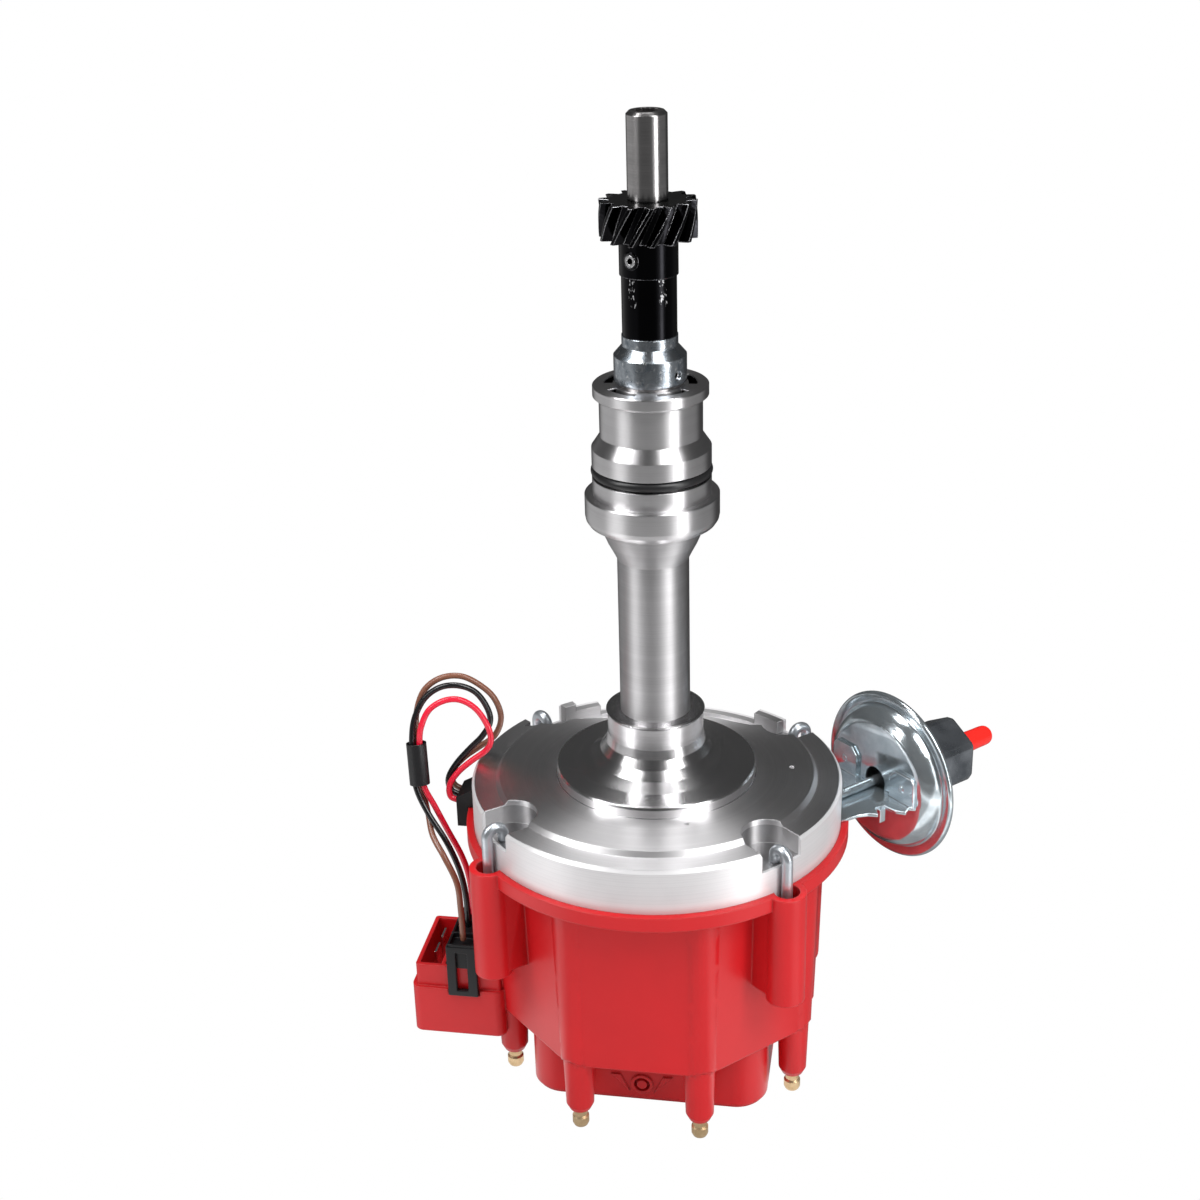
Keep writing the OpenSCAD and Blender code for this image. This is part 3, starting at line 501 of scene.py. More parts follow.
def make_turning_marks():
    """Noise along the tool's path, fine for the relief and fine with broad for the shade."""
    group, tree, inlet, outlet = new_group(
        "turning_marks", {"Rings": 2600.0, "Bands": 260.0},
        {"Height": "NodeSocketFloat", "Shade": "NodeSocketFloat"})
    _, x, y, z = tree.place()
    along = tree.plus(tree.math("SQRT", tree.reach_2(x, y)), tree.times(z, TOOL_SLOPE))
    noises = {}
    for label, detail in (("Rings", 3.0), ("Bands", 2.0)):
        noise = tree.add("ShaderNodeTexNoise", noise_dimensions="1D")
        noise.inputs["Detail"].default_value = detail
        noise.inputs["Scale"].default_value = 1
        tree.join(tree.times(along, inlet.outputs[label]), noise.inputs["W"])
        noises[label] = noise.outputs["Fac"]
    tree.join(noises["Rings"], outlet.inputs["Height"])
    both = tree.plus(tree.times(noises["Rings"], FINE_SHARE),
                     tree.times(noises["Bands"], 1 - FINE_SHARE))
    tree.join(both, outlet.inputs["Shade"])
    return group


TURNING = make_turning_marks()
print("made the group", TURNING.name)

# %% Grain: fine cloudiness for plating, castings and mouldings
SPECK_LEVEL, SPECK_GAIN = 0.62, 9.0


def make_grain():
    """A fine relief, soft clouds and sparse bright specks."""
    group, tree, inlet, outlet = new_group(
        "grain", {"Fine": 2500.0, "Clouds": 60.0, "Specks": 700.0},
        {"Height": "NodeSocketFloat", "Clouds": "NodeSocketFloat", "Specks": "NodeSocketFloat"})
    whole = tree.add("ShaderNodeTexCoord").outputs["Object"]
    noises = {}
    for label, detail in (("Fine", 2.0), ("Clouds", 4.0), ("Specks", 1.0)):
        noise = tree.add("ShaderNodeTexNoise")
        noise.inputs["Detail"].default_value = detail
        tree.join(whole, noise.inputs["Vector"])
        tree.join(inlet.outputs[label], noise.inputs["Scale"])
        noises[label] = noise.outputs["Fac"]
    specks = tree.times(tree.math("SUBTRACT", noises["Specks"], SPECK_LEVEL), SPECK_GAIN)
    tree.join(noises["Fine"], outlet.inputs["Height"])
    tree.join(noises["Clouds"], outlet.inputs["Clouds"])
    tree.join(tree.clamped(specks), outlet.inputs["Specks"])
    return group


GRAIN = make_grain()
print("made the group", GRAIN.name)

# %% [markdown]
# ## Zones of the aluminium
# The whole body is one casting, but the lathe left the hub bright, the disc and the tube satin
# and the bowl's wall plain and pale. Shade is painted into its drain slots and pockets, and the
# tube is painted a little darker. Painting that by hand would need an image. The zones are rings
# and heights, so a group can tell them apart from the place alone.

# %% Zones: how satin and how pale the aluminium is, and where shade is painted
# distances from the axis and heights in the object's frame, in metres
DISC_FROM, DISC_BELOW = 0.0370, -0.1090
WALL_FROM, WALL_BELOW = 0.0672, -0.1117
TUBE_SPAN, LAND_SPAN = (-0.0840, -0.0122), (-0.0122, 0.0395)
SLOT_RING, SLOT_SPAN = (0.0130**2, 0.0160**2), (0.0340, 0.0385)
POCKET_RING, POCKET_SPAN = (0.0480**2, 0.0672**2), (-0.1200, -0.1118)
# share of the painted shade on the tube and in the pockets; the slots get all of it
TUBE_SHADE, POCKET_SHADE = 0.2, 0.4


def make_satin_zones():
    """Satin on disc, tube and land, the bowl's wall, and painted shade in slots, pockets and on
    the tube.
    """
    group, tree, inlet, outlet = new_group(
        "satin_zones", {"Tube": 1.6, "Land": 0.5},
        {"Satin": "NodeSocketFloat", "Wall": "NodeSocketFloat", "Painted shade": "NodeSocketFloat"})
    _, x, y, height = tree.place()
    ring = tree.reach_2(x, y)

    def beyond(radius, below):
        """One outside a radius and below a height."""
        return tree.times(tree.math("GREATER_THAN", ring, radius**2),
                          tree.math("LESS_THAN", height, below))

    on_tube = tree.within(height, *TUBE_SPAN)
    satin = tree.plus(tree.times(on_tube, inlet.outputs["Tube"]),
                      tree.times(tree.within(height, *LAND_SPAN), inlet.outputs["Land"]))
    tree.join(tree.plus(beyond(DISC_FROM, DISC_BELOW), satin), outlet.inputs["Satin"])
    tree.join(beyond(WALL_FROM, WALL_BELOW), outlet.inputs["Wall"])
    # painted shade: dark in the drain slots, less in the pockets, a little on the tube
    slots = tree.times(tree.within(ring, *SLOT_RING), tree.within(height, *SLOT_SPAN))
    pockets = tree.times(tree.within(ring, *POCKET_RING), tree.within(height, *POCKET_SPAN))
    shaded = tree.plus(tree.times(on_tube, TUBE_SHADE), tree.times(pockets, POCKET_SHADE))
    tree.join(tree.plus(slots, shaded), outlet.inputs["Painted shade"])
    return group


SATIN_ZONES = make_satin_zones()
print("made the group", SATIN_ZONES.name)

# %% [markdown]
# ## Scuffs on the black sleeve
# Assembly has scratched the black finish below the gear in two short patches, down to bright
# steel. A few drawn strokes would look drawn. Coarse noise, stretched along the shaft and cut off
# at a level, breaks up as real scratches do.

# %% Scuffs: two patches of scratches
SCUFF_BEARINGS, SCUFF_HALF = (-0.50, 0.66), 0.17  # in radians
SCUFF_SCALE, SCUFF_STRETCH, SCUFF_LEVEL, SCUFF_GAIN = 1900.0, 0.38, 0.59, 16.0


def make_scuffs():
    """A mask that is one on the scratches, between two heights."""
    group, tree, inlet, outlet = new_group("scuffs", {"Low": 0.0668, "High": 0.0763},
                                           {"Mask": "NodeSocketFloat"})
    whole, x, y, z = tree.place()
    bearing = tree.bearing(x, y)
    first, second = (tree.math("LESS_THAN", tree.off(bearing, middle), SCUFF_HALF)
                     for middle in SCUFF_BEARINGS)
    inside = tree.within(z, inlet.outputs["Low"], inlet.outputs["High"])
    stretch = tree.add("ShaderNodeMapping")
    stretch.inputs["Scale"].default_value = (1.0, 1.0, SCUFF_STRETCH)
    tree.join(whole, stretch.inputs["Vector"])
    noise = tree.add("ShaderNodeTexNoise")
    noise.inputs["Scale"].default_value = SCUFF_SCALE
    noise.inputs["Detail"].default_value = 3.0
    tree.join(stretch.outputs[0], noise.inputs["Vector"])
    scratch = tree.clamped(tree.times(
        tree.math("SUBTRACT", noise.outputs["Fac"], SCUFF_LEVEL), SCUFF_GAIN))
    patches = tree.times(tree.math("MAXIMUM", first, second), inside)
    tree.join(tree.times(scratch, patches), outlet.inputs["Mask"])
    return group


SCUFFS = make_scuffs()
print("made the group", SCUFFS.name)

# %% [markdown]
# ## One recipe for metal and one for mouldings
# All the metals differ only in colour, gloss, plating clouds and whether a lathe left rings.
# All the plastics differ in colour, gloss and grain. Twenty separate materials would repeat
# themselves, so there are two recipes, each a function with plain-word settings, and every
# finish of the part is one call.

# %% Steps that both recipes take
RELIEF_DEPTH = 0.0001  # in metres


def place_group(tree, group, **values):
    """A shared group in a material, with its own numbers."""
    node = tree.add("ShaderNodeGroup", node_tree=group)
    for label, value in values.items():
        node.inputs[label].default_value = value
    return node


def relieve(tree, shader, height, edge, strength):
    """Fine relief on top of the rounded edges."""
    relief = tree.add("ShaderNodeBump")
    relief.inputs["Strength"].default_value = strength
    relief.inputs["Distance"].default_value = RELIEF_DEPTH
    tree.join(height, relief.inputs["Height"])
    tree.join(edge.outputs["Normal"], relief.inputs["Normal"])
    tree.join(relief.outputs["Normal"], shader.inputs["Normal"])


# %% The metal recipe
RING_SHARE = 0.65  # share of the turning marks in a turned metal's tone
SCUFF_ROUGH, WALL_MATT = 0.3, 0.5
# the colour of the painted shade in the slots and pockets and on the tube
PAINTED_SHADE_COLOUR = (0.03, 0.03, 0.032)


def draw_out(tree, shader, spun):
    """Pulls each highlight out along the lathe's rings, which run round the shaft."""
    shader.inputs["Anisotropic"].default_value = spun
    shader.inputs["Anisotropic Rotation"].default_value = 0.25
    cross = tree.add("ShaderNodeVectorMath", operation="CROSS_PRODUCT")
    cross.inputs[0].default_value = (0, 0, 1)
    tree.join(tree.add("ShaderNodeTexCoord").outputs["Object"], cross.inputs[1])
    to_world = tree.add("ShaderNodeVectorTransform", vector_type="VECTOR",
                        convert_from="OBJECT", convert_to="WORLD")
    tree.join(cross.outputs["Vector"], to_world.inputs[0])
    tree.join(to_world.outputs[0], shader.inputs["Tangent"])


def metal(name, colour, dark, rough, rough_spread=0.08, rings=0.0, clouds=60.0, specks=0.0,
          speck_colour=(0.8, 0.82, 0.85), wear_and_glint=None, edge_width=0.0003, spun=0.0, bump=0.02,
          satin=0.0, metallic=1.0, scuffed=None):
    """A metal finish. colour and dark are the light and dark of its tone, rings the depth of
    lathe marks, spun how far the gloss is drawn out round the axis, wear_and_glint the colour of
    its edges, as wear and as a painted highlight, scuffed that of scratches, and satin how much
    rougher its zones are; satin also paints shade into slots and pockets and darkens the tube."""
    material, tree, shader = new_material(name)
    shader.inputs["Metallic"].default_value = metallic
    grain = place_group(tree, GRAIN, Clouds=clouds)
    edge = place_group(tree, EDGE_WEAR_AND_GLINT, Width=edge_width)
    tone, height = grain.outputs["Clouds"], grain.outputs["Height"]
    if rings:
        marks = place_group(tree, TURNING)
        tone = tree.plus(tree.times(tone, 1 - RING_SHARE),
                         tree.times(marks.outputs["Shade"], RING_SHARE))
        height = marks.outputs["Height"]
    tone = tree.between(tone, -0.5, 1.5)
    paint = tree.colour(tone, dark, colour)
    gloss = tree.between(tone, rough + rough_spread, rough - rough_spread)
    if specks:
        paint = tree.colour(tree.times(grain.outputs["Specks"], specks), paint, speck_colour)
    if wear_and_glint:
        # lighter edges: partly wear, partly a painted highlight where an edge would catch the
        # light
        paint = tree.colour(edge.outputs["Mask"], paint, wear_and_glint)
    if scuffed:
        scratches = place_group(tree, SCUFFS).outputs["Mask"]
        paint = tree.colour(scratches, paint, scuffed)
        gloss = tree.plus(gloss, tree.times(scratches, SCUFF_ROUGH))
    if satin:
        zones = place_group(tree, SATIN_ZONES)
        # paint shade into the slots and pockets, and a little onto the tube
        paint = tree.colour(zones.outputs["Painted shade"], paint, PAINTED_SHADE_COLOUR)
        gloss = tree.plus(gloss, tree.times(zones.outputs["Satin"], satin))
        tree.join(tree.math("SUBTRACT", 1.0, tree.times(zones.outputs["Wall"], WALL_MATT)),
                  shader.inputs["Metallic"])
    tree.join(paint, shader.inputs["Base Color"])
    tree.join(gloss, shader.inputs["Roughness"])
    relieve(tree, shader, height, edge, rings or bump)
    if spun:
        draw_out(tree, shader, spun)
    return material


# %% The moulding recipe
COAT_ROUGH, GLOSS_SPREAD = 0.12, 0.06


def moulded(name, colour, dark, rough, coat=0.0, bump=0.03, clouds=35.0, wear_and_glint=None,
            edge_width=0.0006, specular=0.5):
    """A plastic, rubber or vinyl finish, with rounded edges, faint clouds and a fine grain."""
    material, tree, shader = new_material(name)
    shader.inputs["Coat Weight"].default_value = coat
    shader.inputs["Coat Roughness"].default_value = COAT_ROUGH
    shader.inputs["Specular IOR Level"].default_value = specular
    grain = place_group(tree, GRAIN, Clouds=clouds, Fine=1800.0)
    edge = place_group(tree, EDGE_WEAR_AND_GLINT, Width=edge_width)
    paint = tree.colour(tree.between(grain.outputs["Clouds"], -0.3, 1.3), dark, colour)
    # lighter edges: partly wear, partly a painted highlight where an edge would catch the light
    if wear_and_glint:
        paint = tree.colour(edge.outputs["Mask"], paint, wear_and_glint)
    tree.join(paint, shader.inputs["Base Color"])
    tree.join(tree.between(grain.outputs["Clouds"], rough + GLOSS_SPREAD, rough - GLOSS_SPREAD),
              shader.inputs["Roughness"])
    relieve(tree, shader, grain.outputs["Height"], edge, bump)
    return material


# %% [markdown]
# ## The finishes of this distributor
# The bowl and neck are turned from bright aluminium, and the lathe's rings pull each highlight
# out into a streak across the disc. The collar, latches and canister are zinc plated, with the
# cloudy blue cast of passivation. The gear and spacer are blackened and oily. The cap is a red
# thermoplastic with a half gloss, and its spark plug tips are brass. The record names the slot of
# every piece, so a table of finishes by slot is enough.

# %% Make one finish for each slot of the record
FINISH = {
    "machined_aluminium": metal("machined_aluminium", (0.92, 0.91, 0.92), (0.72, 0.71, 0.72),
                                0.24, 0.05, rings=0.12, spun=0.8, edge_width=0.0004, satin=0.2),
    "bronze": metal("bronze", (0.72, 0.47, 0.22), (0.52, 0.32, 0.14), 0.32, rings=0.1),
    "steel": metal("steel", (0.62, 0.60, 0.60), (0.42, 0.41, 0.41), 0.22, 0.05, rings=0.06,
                   spun=0.4, edge_width=0.0004),
    # its edges are painted light grey: a painted highlight along the tooth crests, partly wear
    "black_oxide": metal("black_oxide", (0.016, 0.016, 0.018), (0.006, 0.006, 0.007), 0.2, 0.06,
                         wear_and_glint=(0.5, 0.5, 0.52), edge_width=0.0005, scuffed=(0.8, 0.8, 0.82)),
    "zinc": metal("zinc", (0.80, 0.87, 0.91), (0.56, 0.64, 0.69), 0.15, 0.08, clouds=190.0,
                  specks=0.3, speck_colour=(0.92, 0.97, 1.0), edge_width=0.0005, bump=0.06,
                  metallic=0.9),
    "spring_steel": metal("spring_steel", (0.55, 0.56, 0.58), (0.35, 0.36, 0.38), 0.25),
    "dark_steel": metal("dark_steel", (0.30, 0.31, 0.33), (0.17, 0.18, 0.20), 0.33, rings=0.05),
    "magnet": metal("magnet", (0.13, 0.13, 0.14), (0.07, 0.07, 0.08), 0.5),
    "yellow_zinc": metal("yellow_zinc", (0.66, 0.53, 0.22), (0.48, 0.42, 0.26), 0.3,
                         clouds=120.0),
    "black_rubber": moulded("black_rubber", (0.018, 0.018, 0.019), (0.010, 0.010, 0.011), 0.32,
                            bump=0.05),
    "black_plastic": moulded("black_plastic", (0.014, 0.014, 0.016), (0.008, 0.008, 0.009), 0.3,
                             edge_width=0.0004, specular=0.35),
    "rotor_plastic": moulded("rotor_plastic", (0.03, 0.03, 0.032), (0.018, 0.018, 0.02), 0.38),
    "red_plastic": moulded("red_plastic", (0.60, 0.010, 0.014), (0.52, 0.008, 0.011), 0.33,
                           coat=0.06, wear_and_glint=(0.68, 0.05, 0.05), edge_width=0.0010,
                           specular=0.36),
    "red_vinyl": moulded("red_vinyl", (0.93, 0.02, 0.012), (0.85, 0.015, 0.01), 0.28, coat=0.3),
    "brass": metal("brass", (0.84, 0.63, 0.38), (0.62, 0.44, 0.24), 0.4, 0.08, clouds=260.0,
                   metallic=0.8),
    "epoxy": moulded("epoxy", (0.03, 0.03, 0.034), (0.02, 0.02, 0.024), 0.3, coat=0.4,
                     clouds=90.0),
    "laminations": metal("laminations", (0.34, 0.36, 0.38), (0.2, 0.21, 0.23), 0.42,
                         clouds=300.0),
    "carbon": moulded("carbon", (0.02, 0.02, 0.022), (0.012, 0.012, 0.014), 0.5),
    "tin": metal("tin", (0.78, 0.78, 0.77), (0.6, 0.6, 0.6), 0.28),
    "red_pvc": moulded("red_pvc", (0.80, 0.012, 0.045), (0.72, 0.01, 0.035), 0.22, coat=0.4,
                       bump=0.01),
    "black_pvc": moulded("black_pvc", (0.012, 0.012, 0.013), (0.007, 0.007, 0.008), 0.2,
                         coat=0.4, bump=0.01),
    "brown_pvc": moulded("brown_pvc", (0.24, 0.10, 0.062), (0.19, 0.075, 0.045), 0.24,
                         coat=0.35, bump=0.01),
}
slot_of = {row["node"]: row["material_slot"] for row in record["subparts"]}
print("finishes:", len(FINISH), "missing:", sorted(set(slot_of.values()) - set(FINISH)))

# %% [markdown]
# ## Pieces with a look of their own
# Plating takes differently on each piece. The bent latch rods are duller than the pressed shells,
# the collar came out blotchy, the port block dark, and the roll pins are bare steel. They keep the
# slot that the record gives them, because the slot says what they are made of, and only wear
# another finish.

# %% Make the four odd finishes
LATCH_ZINC = metal("latch_zinc", (0.72, 0.76, 0.80), (0.50, 0.54, 0.58), 0.34, 0.08,
                   clouds=120.0, edge_width=0.0005, bump=0.05, metallic=0.85)
COLLAR_ZINC = metal("collar_zinc", (0.74, 0.79, 0.84), (0.20, 0.24, 0.28), 0.24, 0.1,
                    clouds=330.0, specks=0.75, speck_colour=(0.95, 0.98, 1.0),
                    edge_width=0.0005, bump=0.12, wear_and_glint=(0.85, 0.9, 0.94))
# its edges are painted pale: a painted highlight along the block's edges, partly wear
PORT_ZINC = metal("port_zinc", (0.44, 0.47, 0.51), (0.13, 0.145, 0.165), 0.24, 0.07,
                  clouds=110.0, wear_and_glint=(0.8, 0.85, 0.9), edge_width=0.0008, bump=0.05,
                  metallic=0.9)
PIN_STEEL = metal("pin_steel", (0.85, 0.85, 0.86), (0.6, 0.6, 0.62), 0.18,
                  wear_and_glint=(0.95, 0.95, 0.96), edge_width=0.0004)
OWN_LOOK = {"latch_fl": LATCH_ZINC, "latch_fr": LATCH_ZINC, "latch_bl": LATCH_ZINC,
            "latch_br": LATCH_ZINC, "thrust_collar": COLLAR_ZINC, "roll_pins": PIN_STEEL}


# %% Dress every CAD node and the leads
def wear(piece, finish):
    """Gives a piece one finish and takes off any other."""
    piece.data.materials.clear()
    piece.data.materials.append(finish)


for name, node in nodes.items():
    wear(node, OWN_LOOK.get(name, FINISH[slot_of[name]]))
wear(red_lead, FINISH["red_pvc"])
wear(black_lead, FINISH["black_pvc"])
wear(brown_lead, FINISH["brown_pvc"])
print("dressed nodes:", len(nodes), "of which with a look of their own:", len(OWN_LOOK))

# %% [markdown]
# ## Pieces of mesh
# Some parts of the real distributor are softer than a drawing: a rolled rim, a folded tab, a
# moulded cap. They could be modelled by hand, but then no size could be read back. So each is
# built here as its own mesh from a few points: a turned piece is one outline carried round an
# axis, and a cut sheet is one outline given a thickness. Either way the piece stands where its
# CAD node stands, and takes the node's place in the picture.

# %% Make an object from points and faces
MERGE = 2e-6  # points nearer than this become one, in metres


def reworked(mesh, work):
    """Opens a mesh for editing, lets work change it, and writes it back."""
    shape = bmesh.new()
    shape.from_mesh(mesh)
    work(shape)
    shape.to_mesh(mesh)
    shape.free()
    return mesh


def shade(mesh, sharp):
    """Smooth faces, but a sharp edge wherever the surface turns by more than sharp degrees."""
    for face in mesh.polygons:
        face.use_smooth = True
    mesh.set_sharp_from_angle(angle=math.radians(sharp))


def as_piece(name, mesh, body, slot, material=None, sharp=34.0):
    """Cleans a mesh, turns its faces outwards, dresses it and lets it ride on a body."""
    def clean(shape):
        bmesh.ops.remove_doubles(shape, verts=shape.verts, dist=MERGE)
        bmesh.ops.recalc_face_normals(shape, faces=shape.faces)

    reworked(mesh, clean)
    shade(mesh, sharp)
    piece = stand(name, mesh)
    wear(piece, material or FINISH[slot])
    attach(piece, body)
    print(name, "has", len(mesh.polygons), "faces")
    return piece


def mesh_of(name, points, faces):
    """A bare mesh; points are in millimetres."""
    mesh = bpy.data.meshes.new(name)
    mesh.from_pydata([Vector(p)*MM for p in points], [], faces)
    return mesh


def joined(name, meshes):
    """One mesh from several."""
    whole = bpy.data.meshes.new(name)
    shape = bmesh.new()
    for mesh in meshes:
        shape.from_mesh(mesh)
    shape.to_mesh(whole)
    shape.free()
    return whole


# %% Turn an outline round an axis
def skin(count, rings, closed=True):
    """Faces between rings of count points each, and from the last ring to the first."""
    faces = []
    for k in range(rings if closed else rings - 1):
        here, following = k*count, (k + 1) % rings*count
        faces += [(here + i, here + (i + 1) % count, following + (i + 1) % count, following + i)
                  for i in range(count)]
    return faces


def turned(name, outline, place, rounds=96):
    """A mesh: the closed outline of (radius, height) carried round the axis of place."""
    points = []
    for k in range(rounds):
        angle = 2*math.pi*k/rounds
        points += [place @ Vector((r*math.cos(angle), r*math.sin(angle), h))
                   for r, h in outline]
    return mesh_of(name, points, skin(len(outline), rounds))


def soft(outline, steps=4):
    """The same open outline with a smooth line through its points."""
    line = smooth([Vector((r, h, 0)) for r, h in outline], steps)
    return [(p.x, p.y) for p in line]


# %% Cut an outline from sheet and round its edges
EDGE_ANGLE = 0.15  # two faces that meet at less than this, in radians, have no edge to round


def rounded(mesh, bevel):
    """Turns a mesh's faces outwards and rounds its edges; bevel is in millimetres."""
    def work(shape):
        bmesh.ops.recalc_face_normals(shape, faces=shape.faces)
        edges = [e for e in shape.edges
                 if len(e.link_faces) == 2 and e.calc_face_angle() > EDGE_ANGLE]
        bmesh.ops.bevel(shape, geom=edges, offset=bevel*MM, segments=2, affect="EDGES",
                        profile=0.5, clamp_overlap=True)

    return reworked(mesh, work)


def sheet_metal(name, outline, low, high, place, bevel=0.3):
    """A mesh: a flat outline of (x, y) given its thickness from low to high, edges rounded."""
    count = len(outline)
    points = [place @ Vector((x, y, z)) for z in (low, high) for x, y in outline]
    faces = [tuple(range(count))[::-1], tuple(range(count, 2*count))]
    return rounded(mesh_of(name, points, faces + skin(count, 2, closed=False)), bevel)


# %% [markdown]
# ## The vacuum canister
# Two pressed steel shells hold a rubber diaphragm between them, and the rim of one is rolled over
# the other. The front shell faces the bowl: a flat middle with a hole for the rod, a round
# shoulder that mirrors the room, a valley and then the rolled rim. The back shell is shallow, with
# a neck that leaves room for the diaphragm's plate. Both were pressed round one axis, so each is
# one closed outline, out along one face of the steel and back along the other.

# %% Press the two shells
CAN_FACE = 76.3  # distance of the front shell's flat from the shaft's axis, in millimetres
AT_45 = Matrix.Translation((0, 0, BOWL)) @ Matrix.Rotation(math.radians(45), 4, "Z")
TO_CAN = (AT_45 @ Matrix.Translation((CAN_FACE, -36.4, -15.3))
          @ Matrix.Rotation(math.radians(90), 4, "Y") @ Matrix.Rotation(math.radians(90), 4, "Z"))
# outlines as (distance from the canister's axis, distance behind the front), in millimetres
FRONT_SHELL = (
    [(5.25, 1.1), (5.25, 0.2), (5.45, 0), (22.4, 0)]
    + soft([(23.2, 0.1), (24.6, 0.75), (26.2, 2.3), (27.5, 4.4), (28.2, 6.2), (28.55, 6.75)])
    + soft([(29.0, 6.95), (29.6, 6.8), (31.4, 6.55), (32.3, 6.7), (32.95, 7.5), (32.9, 8.4),
            (32.3, 9.1), (31.2, 9.3)])
    + [(30.4, 9.2), (30.6, 8.5), (31.6, 7.9), (28.6, 7.9), (27.4, 7.3), (26.3, 4.6),
       (24.6, 2.3), (22.6, 1.1)])
BACK_SHELL = (
    [(31.9, 8.8)]
    + soft([(31.6, 9.5), (30.2, 10.0), (27.0, 11.0), (22.6, 12.7), (18.6, 14.4), (15.8, 16.0),
            (14.6, 17.6), (14.3, 19.4)])
    + [(14.3, 21.0), (13.3, 21.0), (13.3, 19.2), (13.6, 17.4), (15.0, 15.0), (18.0, 13.2),
       (22.2, 11.6), (26.6, 9.9), (29.4, 9.1), (30.4, 8.8)])
can_front = as_piece("canister_front", turned("canister_front", FRONT_SHELL, TO_CAN, 128),
                     "body", "zinc")
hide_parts("vac_front")
can_back = as_piece("canister_back", turned("canister_back", BACK_SHELL, TO_CAN, 128),
                    "body", "zinc")
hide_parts("vac_back")

# %% [markdown]
# ## The port block and its cap
# A hexagonal block stands on the neck of the back shell. Its end carries the nipple for the
# vacuum hose, and for shipping a red vinyl cap is pushed over that. A hexagon with a bevel would
# have straight chamfers, but a lathe turned this one's ends, so its corners run out in curves.
# Each ring of points therefore follows the hexagon or the turning radius, whichever is nearer.

# %% Cut the port block and mould the cap
HEX_FLAT, HEX_CORNER, BORE = 12.7, 14.4, 10.9
PORT_START, PORT_END, BORE_END = 18.4, 41.2, 27.6
PORT_SIDES = 72
# height, reach of the flats' hexagon at its corner, and the lathe's radius
PORT_RINGS = (
    (BORE_END, BORE, BORE), (PORT_START, BORE, BORE), (PORT_START, 13.2, 13.2),
    (PORT_START + 1.0, HEX_CORNER, 14.0), (PORT_END - 2.6, HEX_CORNER, 14.0),
    (PORT_END - 1.2, 13.6, 13.4), (PORT_END - 0.3, 12.2, 12.2), (PORT_END, 11.0, 11.0))


def port_block():
    """A hexagon whose corners and ends a turning tool has rounded, bored out for the spring."""
    points = []
    for height, reach, blunt in PORT_RINGS:
        for k in range(PORT_SIDES):
            angle = math.radians(360/PORT_SIDES*k)
            from_flat = (angle + math.pi/6) % (math.pi/3) - math.pi/6
            radius = min(HEX_FLAT*reach/HEX_CORNER/math.cos(from_flat), blunt)
            points.append(TO_CAN @ Vector((radius*math.cos(angle), radius*math.sin(angle),
                                           height)))
    last = (len(PORT_RINGS) - 1)*PORT_SIDES
    ends = [tuple(range(PORT_SIDES)), tuple(range(last, last + PORT_SIDES))]
    return mesh_of("port_block", points,
                   skin(PORT_SIDES, len(PORT_RINGS), closed=False) + ends)


NIPPLE = [(0.9, PORT_END - 1), (4.4, PORT_END - 1), (4.4, PORT_END + 0.2), (3.6, PORT_END + 0.8),
          (2.9, PORT_END + 1.4), (2.9, 57.2), (2.4, 58.2), (1.3, 58.2), (1.3, PORT_END)]
port = as_piece("port_block", joined("port_block", [port_block(),
                                                    turned("nipple", NIPPLE, TO_CAN, 48)]),
                "body", slot_of["vac_port"], PORT_ZINC, sharp=26.0)
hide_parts("vac_port")

VINYL = ([(3.0, PORT_END + 0.9), (4.0, PORT_END + 0.9)]
         + soft([(4.15, PORT_END + 1.4), (4.1, PORT_END + 6), (3.95, 53), (3.9, 57.4),
                 (3.55, 59.3), (2.4, 60.5), (1.0, 60.88), (0, 60.9)])
         + [(0, 58.6), (3.0, 58.6)])
vinyl = as_piece("vinyl_cap", turned("vinyl_cap", VINYL, TO_CAN, 64), "vacuum_cap",
                 slot_of["vac_cap"])
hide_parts("vac_cap")

# %% [markdown]
# ## The canister's bracket
# One strip of plated steel leaves the bowl through a slot in its wall. It carries the canister on
# two tabs that are folded up and spot welded, which leaves a dimple in each. The press that cut it
# left a wavy front edge. A folded sheet could be bent with modifiers, but nothing shows of the
# bends here, so it is a flat outline with a thickness, and two more for the tabs.

# %% Cut the bracket, its two tabs and their welds
PLATE_TOP, PLATE_THICK, TAB_THICK = -17.4, 1.35, 1.5
TAB_MIDDLE, WELD_HEIGHT, WELD_SEAT = 15.5, 3.4, -1.5
PLATE = [(26, -50.5), (33, -50.5), (40, -47), (56.4, -49.2), (59.8, -50.8), (62.2, -53.4),
         (64.6, -49.6), (68.4, -49.8), (69.0, -55.4), (71.2, -58.6), (74.6, -57.0),
         (CAN_FACE, -58.8), (CAN_FACE, -13.9), (68, -16), (68, -24.8), (62, -25.5), (50, -22),
         (38, -22), (26, -40)]
TAB = [(-6.5, -2.7), (6.5, -2.7), (6.5, 6.6), (3.6, 9.6), (-4.8, 9.6), (-6.5, 7.8)]
WELD = [(0, 0.1), (0, -0.02), (0.55, -0.06), (0.85, -0.3), (1.15, -0.3), (1.5, 0.1)]
LUG = [(66.0, -50.6), (68.8, -50.6), (68.8, -49.6), (66.0, -49.6)]
bracket = [sheet_metal("plate", PLATE, PLATE_TOP - PLATE_THICK, PLATE_TOP, AT_45)]
for side in (1, -1):
    middle = -side*TAB_MIDDLE
    tab = [(middle + side*t, u) for t, u in TAB][::side]
    bracket.append(sheet_metal("tab", tab, -TAB_THICK, 0.05, TO_CAN, 0.35))
    weld = TO_CAN @ Matrix.Translation((middle, WELD_HEIGHT, WELD_SEAT))
    bracket.append(turned("weld", WELD, weld, 24))
bracket.append(sheet_metal("lug", LUG, PLATE_TOP - 6.6, PLATE_TOP - 1.0, AT_45))
